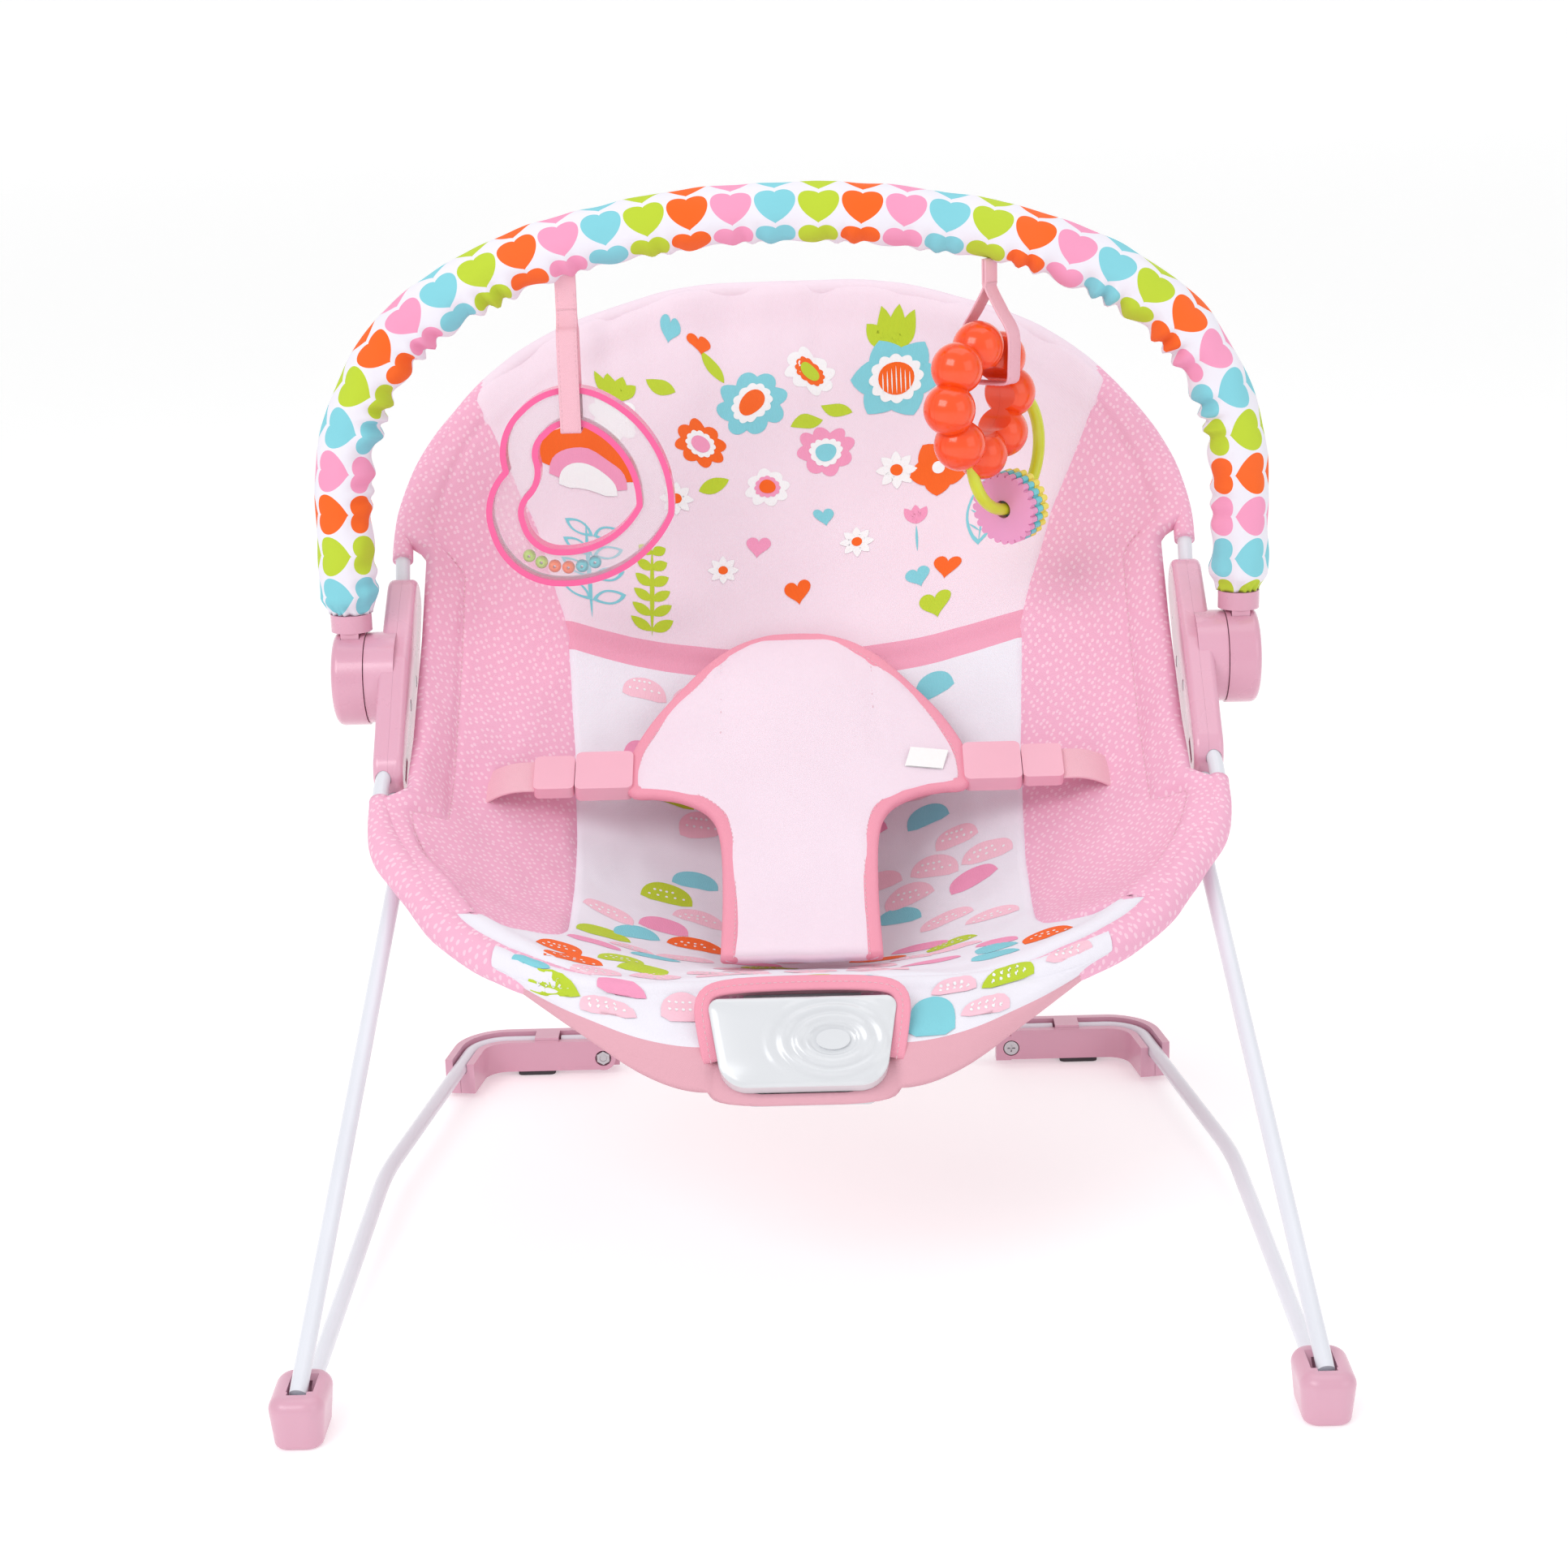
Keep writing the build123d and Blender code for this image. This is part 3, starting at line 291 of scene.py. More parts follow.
# colour, roughness, coat, grain, glow, metal
PLASTICS = {
    "white_rod": (srgb(222, 224, 232), 0.32, 0.4, 0.04),
    "foot_pink": (srgb(214, 162, 182), 0.35, 0.3, 0.05, 0.05),
    "hub_pink": (srgb(222, 166, 188), 0.28, 0.5, 0.03, 0.05),
    "socket_pink": (srgb(216, 158, 180), 0.28, 0.5, 0.03, 0.05),
    "rubber": ((0.05, 0.045, 0.05), 0.75, 0.0, 0.2),
    "steel": ((0.55, 0.55, 0.57), 0.35, 0.0, 0.05, 0.0, 1.0),
    "buckle_plastic": (srgb(238, 178, 196), 0.5, 0.1, 0.08),
    "white_plastic": (srgb(214, 216, 220), 0.2, 0.7, 0.02),
    "grey_plastic": (srgb(196, 199, 204), 0.3, 0.4, 0.05),
    "battery_jacket": ((0.03, 0.035, 0.05),),
    "board_green": ((0.03, 0.14, 0.06), 0.5, 0.2),
    "light_lens": ((0.02, 0.015, 0.02), 0.15, 0.8),
    "rim_pink": (srgb(238, 92, 152), 0.25, 0.2, 0.02),
    "bead_lime": (srgb(178, 218, 70), 0.25, 0.2, 0.02),
    "bead_orange": (srgb(250, 118, 44), 0.25, 0.2, 0.02),
    "bead_aqua": (srgb(66, 204, 212), 0.25, 0.2, 0.02),
    "ring_orange": (srgb(246, 78, 16), 0.18, 0.35, 0.01),
    "hoop_lime": (srgb(210, 222, 48), 0.25, 0.3, 0.01),
    "gear_pink": (srgb(230, 156, 198), 0.35, 0.2, 0.03, 0.1),
    "gear_aqua": (srgb(112, 205, 215), 0.35, 0.2, 0.03, 0.1),
    "gear_yellow": (srgb(240, 224, 92), 0.35, 0.2, 0.03, 0.1),
}
# colour, depth of the weave, sheen
CLOTHS = {
    "webbing": (srgb(242, 190, 203), 0.5),
    "restraint_cloth": (srgb(242, 224, 236),),
    "binding": (srgb(241, 162, 182), 0.4),
    "lining": (srgb(226, 172, 185),),
    "apron_white": (WHITE,),
    "label": (srgb(250, 250, 250),),
    "thread": (srgb(250, 205, 216), 0.5, 0.1),
    "print_orange": (ORANGE,),
    "print_aqua": (AQUA,),
    "print_lime": (LIME,),
    "print_pink": (PRINT_PINK,),
    "print_white": (srgb(246, 246, 248),),
    "print_blush": (srgb(247, 201, 216),),
}
STRIPE_V = (0.391, 0.402)  # the stripe's two edges, metres behind the front bends
HEART_PITCH, HEART_ROWS = 0.0222, 5
looks = {name: plastic(name, *values) for name, values in PLASTICS.items()}
looks |= {name: plain_cloth(name, *values) for name, values in CLOTHS.items()}
looks["clear_plastic"] = clear_plastic("clear_plastic")
looks["seat_cloth"] = seat_cloth("seat_cloth", PALE, srgb(238, 168, 192), WHITE, STRIPE_V)
looks["side_cloth"] = rice_cloth("side_cloth", srgb(240, 180, 206), srgb(252, 222, 234))
looks["heart_cloth"] = heart_cloth(
    "heart_cloth", WHITE, (ORANGE, LIME, AQUA, PRINT_PINK), HEART_PITCH, HEART_ROWS
)

slot_of = {
    s["node"]: s.get("material_slot", s["node"]) for s in frame["record"]["subparts"]
}
for node, obj in frame["nodes"].items():
    obj.data.materials.clear()
    obj.data.materials.append(looks[slot_of[node]])


# ---------------------------------------------------------------- mesh helpers


class Build:
    """Collects patches of one piece and makes its object."""

    def __init__(self):
        self.verts, self.faces, self.uvs, self.mats = [], [], [], []

    def patch(self, points, uv=None, wrap=False, mat=0):
        """A grid of points, rows by columns, with UVs in metres or what uv(i, j) gives."""
        rows, cols = len(points), len(points[0])
        start = len(self.verts)
        for row in points:
            self.verts.extend(tuple(p) for p in row)
        uv = uv or (lambda i, j: (j * MM * 4, i * MM * 4))
        for i in range(rows - 1):
            for j in range(cols if wrap else cols - 1):
                k = (j + 1) % cols
                corners = ((i, j), (i, k), (i + 1, k), (i + 1, j))
                self.faces.append([start + a * cols + b for a, b in corners])
                self.uvs.append([uv(i, j), uv(i, j + 1), uv(i + 1, j + 1), uv(i + 1, j)])
                self.mats.append(mat)
        return start

    def cap(self, indices, mat=0):
        self.faces.append(list(indices))
        self.uvs.append([(self.verts[i][0], self.verts[i][2]) for i in indices])
        self.mats.append(mat)

    def tube(self, rows, uv=None, mat=0, first=True):
        """A closed ring of points per row, capped at the end and, if first, the start."""
        start = self.patch(rows, uv, wrap=True, mat=mat)
        count = len(rows[0])
        last = start + (len(rows) - 1) * count
        if first:
            self.cap(range(start, start + count), mat)
        self.cap(range(last, last + count), mat)

    def make(self, name, materials, weld=1e-6):
        mesh = bpy.data.meshes.new(name)
        mesh.from_pydata(self.verts, [], self.faces)
        layer = mesh.uv_layers.new(name="UVMap")
        flat = [c for face in self.uvs for corner in face for c in corner]
        layer.data.foreach_set("uv", flat)
        for key in materials:
            mesh.materials.append(looks[key])
        mesh.polygons.foreach_set("material_index", self.mats)
        bm = bmesh.new()
        bm.from_mesh(mesh)
        bmesh.ops.remove_doubles(bm, verts=bm.verts, dist=weld)
        bmesh.ops.dissolve_degenerate(bm, edges=bm.edges, dist=1e-7)
        bmesh.ops.recalc_face_normals(bm, faces=bm.faces)
        bm.to_mesh(mesh)
        bm.free()
        for poly in mesh.polygons:
            poly.use_smooth = True
        obj = bpy.data.objects.new(name, mesh)
        bpy.context.scene.collection.objects.link(obj)
        return obj


def place(obj, body, slot, *nodes):
    """Rides and replaces CAD nodes; the slot argument is not used."""
    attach(obj, body)
    if nodes:
        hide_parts(*nodes)
    return obj


def tree_of(obj):
    mesh = obj.data
    return BVHTree.FromPolygons(
        [v.co for v in mesh.vertices], [tuple(p.vertices) for p in mesh.polygons]
    )


def catmull(points, steps):
    """A smooth line through the points."""
    out = []
    ext = [points[0] * 2 - points[1], *points, points[-1] * 2 - points[-2]]
    for i in range(1, len(ext) - 2):
        a, b, c, d = ext[i - 1 : i + 3]
        for s in range(steps):
            t = s / steps
            square, cube = 2 * a - 5 * b + 4 * c - d, 3 * b - a - 3 * c + d
            out.append(0.5 * (2 * b + (c - a) * t + square * t * t + cube * t**3))
    out.append(points[-1])
    return out


def resample(points, step):
    """The same line with even steps."""
    gaps = [(b - a).length for a, b in zip(points, points[1:])]
    total = sum(gaps)
    count = max(2, int(round(total / step)))
    marks = np.concatenate([[0], np.cumsum(gaps)])
    wanted = np.linspace(0, total, count + 1)
    array = np.array([tuple(p) for p in points])
    return [Vector([np.interp(w, marks, array[:, k]) for k in range(3)]) for w in wanted]


def rounded_section(width, thick, corner, steps=3):
    """A rounded rectangle as (across, out) pairs."""
    out = []
    for quarter, (sx, sy) in enumerate(((1, 1), (-1, 1), (-1, -1), (1, -1))):
        for k in range(steps + 1):
            a = (quarter + k / steps) * pi / 2
            x, y = sx * (width / 2 - corner), sy * (thick / 2 - corner)
            out.append((x + corner * cos(a), y + corner * sin(a)))
    return out


def tangents(path, closed=False):
    out = []
    for i in range(len(path)):
        a = path[i - 1] if (i or closed) else path[0]
        b = path[(i + 1) % len(path)] if (i < len(path) - 1 or closed) else path[-1]
        out.append((b - a).normalized())
    return out


def sweep(build, path, sides, section, closed=False, mat=0, scale=None):
    """Sweeps a section, (across, out) pairs, along a path; sides point across."""
    rows, travelled = [], [0.0]
    for i, (p, t) in enumerate(zip(path, tangents(path, closed))):
        side = sides[i] if isinstance(sides, list) else sides
        side = (side - t * side.dot(t)).normalized()
        out = side.cross(t)
        grow = scale(i) if scale else 1.0
        rows.append([p + side * (a * grow) + out * (b * grow) for a, b in section])
        if i:
            travelled.append(travelled[-1] + (p - path[i - 1]).length)
    edge = [0.0]
    for (a, b), (c, d) in zip(section, section[1:] + section[:1]):
        edge.append(edge[-1] + sqrt((a - c) ** 2 + (b - d) ** 2))
    if closed:
        rows.append(rows[0])
        travelled.append(travelled[-1] + (path[0] - path[-1]).length)
    uv = lambda i, j: (travelled[i], edge[j])
    if closed:
        build.patch(rows, uv, wrap=True, mat=mat)
    else:
        build.tube(rows, uv, mat)
    return travelled[-1]


def stitches(build, path, normals, pitch=2.9 * MM, length=1.9 * MM, radius=0.3 * MM):
    """Short threads laid along a line, each a small six-sided bead."""
    line = resample(path, pitch)
    marks = [min(range(len(path)), key=lambda k: (path[k] - p).length) for p in line]
    for p, t, k in zip(line, tangents(line), marks):
        normal = normals[k] if isinstance(normals, list) else normals
        normal = (normal - t * normal.dot(t)).normalized()
        side = t.cross(normal)
        spokes = [side * cos(n * pi / 3) + normal * sin(n * pi / 3) * 0.7 for n in range(6)]
        rows = []
        for share, grow in ((-0.5, 0.25), (-0.3, 0.9), (0.3, 0.9), (0.5, 0.25)):
            centre = p + t * (share * length)
            rows.append([centre + spoke * radius * grow for spoke in spokes])
        build.tube(rows)


# ---------------------------------------------------------------- seat surface


def tube_line(node, centre, e1, e2, start, end, count):
    """Points on a bent tube's centre line, seen from a point inside its curve."""
    tree = tree_of(frame["nodes"][node])
    out = []
    for k in range(count):
        a = radians(lerp(start, end, k / (count - 1)))
        d = (e1 * cos(a) + e2 * sin(a)).normalized()
        near = tree.ray_cast(centre, d)[0]
        far = tree.ray_cast(centre + d * 0.6, -d)[0]
        if near is not None and far is not None and (far - near).length < 0.05:
            out.append((near + far) / 2)
    return out


EX = Vector((1, 0, 0))
back_dir = Vector((0, 1, 1)).normalized()
front_dir = Vector((0, -1, -0.5)).normalized()
back_line = tube_line(
    "back_frame_tube", hub_high + back_dir * 0.09, EX, back_dir, -28, 208, 237
)
front_line = tube_line(
    "front_frame_tube", hub_low + front_dir * 0.06, EX, front_dir, -12, 192, 205
)

seat_nodes = ("seat_front_panel", "seat_centre_panel", "seat_side_right")
seat_trees = [tree_of(frame["nodes"][n]) for n in seat_nodes]


def cad_top(x, y):
    best = None
    for tree in seat_trees:
        hit = tree.ray_cast(Vector((x, y, 1)), Vector((0, 0, -1)))[0]
        if hit is not None and (best is None or hit.z > best):
            best = hit.z
    return best


crown_front = min(p.y for p in front_line)
crown_back = max(p.y for p in back_line)
rail_y = [crown_front - 0.02, hub_low.y, hub_high.y, crown_back + 0.02]
rail_z = [hub_low.z - (hub_low.y - rail_y[0]) * 0.5, hub_low.z, hub_high.z]
rail_z.append(hub_high.z + rail_y[3] - hub_high.y)
samples = [(crown_front, 0.0, 0.1), (crown_back, 0.0, 0.07)]
for y in np.linspace(front_y + 0.158, front_y + 0.520, 64):
    middle = cad_top(0.0, y)
    if middle is None:
        continue
    reach = 0.05
    for x in np.arange(0.05, 0.215, 0.001):
        if cad_top(x, y) is not None:
            reach = x
    samples.append((y, np.interp(y, rail_y, rail_z) - middle, reach))
samples = np.array(sorted(samples))
span = np.linspace(crown_front, crown_back, 300)
kernel = np.exp(-(np.arange(-30, 31) ** 2) / (2 * 9.0**2))
kernel /= kernel.sum()


def softened(values):
    dense = np.interp(span, samples[:, 0], values)
    return np.convolve(np.pad(dense, 30, mode="reflect", reflect_type="odd"), kernel, "valid")


sag_line = softened(samples[:, 1])
width_line = softened(samples[:, 2])


def rail(y):
    return float(np.interp(y, rail_y, rail_z))


def seat_point(x, y):
    """A point on the seat's upper surface."""
    sag = max(0.0, float(np.interp(y, span, sag_line)))
    half = float(np.interp(y, span, width_line))
    return Vector((x, y, rail(y) - sag * max(0.0, 1 - (x / half) ** 2)))


right_half = []
for line in (front_line, back_line):
    right_half += sorted([p for p in line if p.x > 0.03], key=lambda p: p.y)
tube_y = [p.y for p in right_half]
tube_x = [p.x for p in right_half]
HUB_SPAN = (front_y + 0.276, front_y + 0.404)


def edge_x(y):
    """Half width of the padded seat: round the tube, but inside the hubs."""
    outer = float(np.interp(y, tube_y, tube_x)) + 0.0052
    near = smooth((y - HUB_SPAN[0] + 0.014) / 0.014)
    far = smooth((HUB_SPAN[1] + 0.014 - y) / 0.014)
    return lerp(outer, min(outer, 0.2036), min(near, far))


# distances behind the front bends and half widths, in mm
SEAM = [(186, 166), (190, 150), (196, 131), (206, 120), (222, 116), (290, 115)]
SEAM += [(345, 117), (400, 122), (440, 142), (470, 166), (484, 177)]
SIDE_END = (front_y + 0.186, front_y + 0.486)


def seam_x(y):
    d = (y - front_y) / MM
    xs = [w for _, w in SEAM]
    ys = [a for a, _ in SEAM]
    blur = [np.interp(d + k, ys, xs) for k in (-4, -2, 0, 2, 4)]
    start = smooth((y - SIDE_END[0]) / 0.004)
    return min(lerp(edge_x(y), float(np.mean(blur)) * MM, start), edge_x(y) - 0.0002)


def arch_row(line, first, last, count, grow):
    """Even points on a tube's line between two values of X, moved outwards."""
    ordered = sorted(line, key=lambda p: p.x)
    part = [p for p in ordered if first <= p.x <= last]
    middle = sum(part, Vector()) / len(part)
    row = resample(part, 0.001)
    marks = np.linspace(0, len(row) - 1, count)
    out = []
    for k in marks:
        p = row[int(round(k))]
        away = (p - middle) * Vector((0.6, 1, 1))
        out.append(p + away.normalized() * grow)
    return out


def wrinkles(p, seed, strength):
    """Soft unevenness of padded cloth, in metres along the normal."""
    q = Vector((p.x, p.y, p.z)) * 1000
    low = waves(q.x / 46 + seed, q.y / 40, q.z / 60)
    mid = waves(q.x / 19, q.y / 23 + seed, q.z / 30)
    fine = waves(q.x / 8, q.y / 10, q.z / 14 + seed)
    return (low * 2.0 + mid * 0.9 + fine * 0.28) * strength * MM


PAD = 5.5 * MM  # half the pad's thickness
SEWN_RUN, ROLLED_RUN = 9 * MM, 6 * MM  # how far in from an edge the pad is full


def padded_grid(name, base, edges, extra, uv, materials, seed, strength=1.0):
    """A closed pad on a grid of surface points.

    edges(i, j) gives (distance to a sewn edge, distance to a rolled edge) in metres.
    """
    rows, cols = len(base), len(base[0])
    grid = np.array([[tuple(p) for p in row] for row in base])
    du = np.gradient(grid, axis=1)
    dv = np.gradient(grid, axis=0)
    normal = np.cross(du, dv)
    normal /= np.maximum(np.linalg.norm(normal, axis=2, keepdims=True), 1e-12)
    if normal[rows // 2, cols // 2, 2] < 0:
        normal = -normal
    top, low = [], []
    for i in range(rows):
        top.append([])
        low.append([])
        for j in range(cols):
            p = Vector(grid[i, j])
            n = Vector(normal[i, j])
            sewn, rolled = edges(i, j)
            t = min(sewn / SEWN_RUN, 1.0)
            r = min(rolled / ROLLED_RUN, 1.0)
            full = sqrt(max(0, 1 - (1 - t) ** 2)) * sqrt(max(0, 1 - (1 - r) ** 2))
            lift = PAD * smooth(1 - (rolled - 5 * MM) / (26 * MM))
            fade = min(t, r)
            move = wrinkles(p, seed, strength) * fade + extra(i, j, p) * fade
            middle = p + n * (lift - PAD + move)
            top[-1].append(middle + n * (PAD * full))
            low[-1].append(middle - n * (PAD * full))
    build = Build()
    build.patch(top, uv)
    build.patch(low, uv, mat=1)
    return build.make(name, materials, weld=2e-5)


# centre panel: between the two crowns and the two side seams
ROWS, COLS = 200, 140
end_x = edge_x(SIDE_END[1])
start_x = edge_x(SIDE_END[0])
back_row = arch_row(back_line, -end_x, end_x, COLS + 1, 5 * MM)
front_row = arch_row(front_line, -start_x, start_x, COLS + 1, 5 * MM)
centre_base = []
for i in range(ROWS + 1):
    t = i / ROWS
    y_side = lerp(SIDE_END[0], SIDE_END[1], t)
    half = seam_x(y_side)
    row = []
    for j in range(COLS + 1):
        u = 2 * j / COLS - 1
        a, b = front_row[j], back_row[j]
        x = u * half
        x += (1 - t) * (a.x - u * seam_x(SIDE_END[0]))
        x += t * (b.x - u * seam_x(SIDE_END[1]))
        y = y_side + (1 - t) * (a.y - SIDE_END[0]) + t * (b.y - SIDE_END[1])
        row.append(seat_point(x, y))
    centre_base.append(row)
lengths = np.linalg.norm(
    np.diff(np.array([[tuple(p) for p in row] for row in centre_base]), axis=0), axis=2
)
from_front = np.vstack([np.zeros(COLS + 1), np.cumsum(lengths, axis=0)])
from_back = from_front[-1] - from_front


def centre_edges(i, j):
    u = abs(2 * j / COLS - 1)
    half = centre_base[i][COLS].x
    return (1 - u) * half, min(from_front[i][j], from_back[i][j])


def gathers(i, j, p):
    """Vertical folds below the top edge and a shallow quilted line above the stripe."""
    up = (p.y - front_y) / MM
    fold = sin(p.x / MM / 5.1 + 1.3 * sin(p.x / MM / 17)) * 1.2
    fold += sin(p.x / MM / 9.3 + 2.0) * 2.4
    share = smooth((up - 415) / 95)
    line = -1.6 * np.exp(-(((up - 396) / 2.6) ** 2))
    return (fold * share * (0.55 + 0.45 * noise.noise(p * 30)) + line) * MM


centre = padded_grid(
    "seat_centre_pad",
    centre_base,
    centre_edges,
    gathers,
    lambda i, j: (centre_base[i][j].x, centre_base[i][j].y - front_y),
    ("seat_cloth", "lining"),
    3.1,
    0.8,
)
place(centre, "seat_frame", "seat_cloth", "seat_centre_panel", "seat_front_panel")


# side panels: between a seam and the rolled edge round the tube
SIDE_ROWS, SIDE_COLS = 150, 48


def side_grid(sign):
    out = []
    for i in range(SIDE_ROWS + 1):
        y = lerp(SIDE_END[0], SIDE_END[1], i / SIDE_ROWS)
        inner, outer = seam_x(y), edge_x(y)
        across = [sign * lerp(inner, outer, j / SIDE_COLS) for j in range(SIDE_COLS + 1)]
        out.append([seat_point(x, y) for x in across])
    return out


for side, sign in (("left", -1), ("right", 1)):
    base = side_grid(sign)

    def side_edges(i, j, base=base):
        width = abs(base[i][SIDE_COLS].x - base[i][0].x)
        return width * j / SIDE_COLS, width * (1 - j / SIDE_COLS)

    def side_folds(i, j, p, sign=sign):
        """A sewn line inside the rolled edge, and creases that fan out from the seam."""
        inside = abs(edge_x(p.y) - abs(p.x)) / MM
        line = -1.7 * np.exp(-(((inside - 21) / 2.4) ** 2))
        up = (p.y - front_y) / MM
        crease = noise.ridged_multi_fractal(
            Vector((abs(p.x) * 26 + up * 0.012, up * 0.016, sign)), 0.8, 2.0, 2, 1.0, 2.0
        )
        return (line + (crease - 1.2) * 0.9) * MM

    pad = padded_grid(
        f"seat_side_pad_{side}",
        base,
        side_edges,
        side_folds,
        lambda i, j, base=base: (base[i][j].x, base[i][j].y * 1.25),
        ("side_cloth", "lining"),
        8.4 + sign,
        1.1,
    )
    place(pad, "seat_frame", "side_cloth", f"seat_side_{side}")


def roll_swell(x):
    """How full the front roll is, 0 to 1: it fills out towards the corners."""
    return smooth((abs(x) / MM - 90) / 45)


def roll_shift(p, full):
    """The full roll hangs outwards and down from the tube."""
    away = Vector((p.x, (p.y - pivot.y) * 0.6, 0)).normalized()
    return away * (2.5 * MM * full) - Vector((0, 0, 4.2 * MM * full))


# cloth round the tubes: a thin sleeve at the back, a soft roll under the front
for name, line in (("back_sleeve", back_line), ("front_sleeve", front_line)):
    is_front = name == "front_sleeve"
    kept = [p for p in line if (p.y < HUB_SPAN[0] - 0.006 if is_front else p.y > HUB_SPAN[1])]
    kept = resample(sorted(kept, key=lambda p: atan2(p.x, abs(p.y - pivot.y))), 2.5 * MM)
    swell = []
    for k, p in enumerate(kept):
        near = min(k, len(kept) - 1 - k) * 2.5
        full = smooth(near / 40) if is_front else 0.0
        full *= roll_swell(p.x)
        swell.append(full)
        kept[k] = p + roll_shift(p, full)
    ring = [(5.6 * MM * cos(k * pi / 9), 5.6 * MM * sin(k * pi / 9)) for k in range(18)]
    sleeve = Build()

    def rumple(i, kept=kept, swell=swell):
        soft = 0.05 + 0.08 * swell[i]
        return 1 + 0.72 * swell[i] + soft * noise.noise(kept[i] * 60)

    sweep(sleeve, kept, Vector((0, -1, 1)).normalized(), ring, scale=rumple)
    obj = sleeve.make(name, ("side_cloth", "restraint_cloth"))
    for poly in obj.data.polygons:
        if not is_front and abs(poly.center.x) < seam_x(SIDE_END[1]):
            poly.material_index = 1
    place(obj, "seat_frame", "side_cloth")

seat_tree = tree_of(centre)
side_trees = [tree_of(bpy.data.objects[f"seat_side_pad_{s}"]) for s in ("left", "right")]


def on_seat(x, y, lift=0.0):
    """A point on the finished cloth under (x, y), and its normal."""
    best = None
    for tree in (seat_tree, *side_trees):
        hit, normal, _, _ = tree.ray_cast(Vector((x, y, 1)), Vector((0, 0, -1)))
        if hit is not None and (best is None or hit.z > best[0].z):
            best = hit, normal if normal.z > 0 else -normal
    if best is None:
        return None
    return best[0] + best[1] * lift, best[1]


thread = Build()
for sign in (-1, 1):
    line, ups = [], []
    for y in np.linspace(SIDE_END[0] + 0.02, SIDE_END[1] - 0.075, 160):
        found = on_seat(sign * (edge_x(y) - 0.021), y, 0.0001)
        if found:
            line.append(found[0])
            ups.append(found[1])
    stitches(thread, line, ups, pitch=3.2 * MM)
seat_thread = thread.make("seat_thread", ("thread",), weld=0)
place(seat_thread, "seat_frame", "webbing")


# ---------------------------------------------------------------- print on the seat


def heart_shape(size):
    out = []
    for k in range(36):
        a = 2 * pi * k / 36
        up = 13 * cos(a) - 5 * cos(2 * a) - 2 * cos(3 * a) - cos(4 * a) + 2
        out.append((size / 32 * 16 * sin(a) ** 3, size / 32 * up))
    return out


def leaf_shape(length, width):
    """A pointed leaf from the origin along +Y."""
    right = [(width / 2 * sin(pi * k / 10) ** 0.8, length * k / 10) for k in range(11)]
    return right + [(-x, y) for x, y in right[9:0:-1]]


def petals_shape(count, radius, depth):
    """A scalloped outline round the origin."""
    out = []
    for k in range(count * 8):
        a = 2 * pi * k / (count * 8)
        r = radius * (1 - depth + depth * abs(cos(count * a / 2)))
        out.append((r * cos(a), r * sin(a)))
    return out


def dome_shape(width, height):
    top = [
        (width / 2 * cos(pi * k / 16), height * sin(pi * k / 16) ** 0.75) for k in range(17)
    ]
    return top + [(-width * 0.3, -height * 0.12), (width * 0.3, -height * 0.12)]


def disc_shape(rx, ry=None):
    return [(rx * cos(pi * k / 12), (ry or rx) * sin(pi * k / 12)) for k in range(24)]


depth_marks = np.linspace(front_y + 0.14, front_y + 0.536, 200)
slope_run = [0.0]
for a, b in zip(depth_marks, depth_marks[1:]):
    slope_run.append(slope_run[-1] + (seat_point(0.08, b) - seat_point(0.08, a)).length)


art = Build()


def stamp(shape, x, d, turn=0.0, mat=0, level=0, ring=None):
    """Lays an outline on the seat: x and d (distance from the front bends) in mm.

    level lifts it over other print; ring leaves the middle open from that share inwards.
    """
    base = np.interp(front_y + d * MM, depth_marks, slope_run)
    c, s = cos(radians(turn)), sin(radians(turn))
    cx = sum(p[0] for p in shape) / len(shape)
    cy = sum(p[1] for p in shape) / len(shape)
    fine = []
    for (ax, ay), (bx, by) in zip(shape, shape[1:] + shape[:1]):
        parts = max(1, int(sqrt((ax - bx) ** 2 + (ay - by) ** 2) / 2.2))
        fine += [(lerp(ax, bx, k / parts), lerp(ay, by, k / parts)) for k in range(parts)]
    shape = fine
    reach = max(sqrt((px - cx) ** 2 + (py - cy) ** 2) for px, py in shape)
    shares = (1.0, ring) if ring else np.linspace(1, 0.12, max(3, int(reach / 2.5)))
    rows = []
    for share in shares:
        row = []
        for px, py in shape:
            qx, qy = cx + (px - cx) * share, cy + (py - cy) * share
            gx = x * MM + (qx * c - qy * s) * MM
            gy = np.interp(base + (qx * s + qy * c) * MM, slope_run, depth_marks)
            found = on_seat(gx, gy, (0.16 + 0.12 * level) * MM)
            if found is None:
                return
            row.append(found[0])
        rows.append(row)
    uv = lambda i, j: (rows[i][j % len(shape)].x, j * 0.0004)
    if ring:
        art.patch(rows, uv, wrap=True, mat=mat)
    else:
        art.tube(rows, uv, mat, first=False)


PRINTS = ("print_orange", "print_aqua", "print_lime", "print_pink", "print_white", "print_blush")
P_ORANGE, P_AQUA, P_LIME, P_PINK, P_WHITE, P_BLUSH = range(6)
for x, d, size, turn, mat in (
    (-69, 517, 12, -12, P_AQUA),
    (-52, 515, 14, 10, P_ORANGE),
    (70, 425, 14, 12, P_AQUA),
    (86, 427, 16, -14, P_ORANGE),
    (79, 413, 18, 5, P_LIME),
    (-20, 440, 14, -8, P_PINK),
    (18, 452, 12, 12, P_AQUA),
    (2, 424, 15, 6, P_ORANGE),
):
    stamp(heart_shape(size), x, d, turn, mat, 1)

# scalloped flower on the left and its leafy crown
stamp(petals_shape(8, 15, 0.2), -101, 486, 0, P_WHITE, 0)
for turn in (-44, -15, 15, 44):
    stamp(leaf_shape(17, 9), -101, 493, turn, P_LIME, 1)

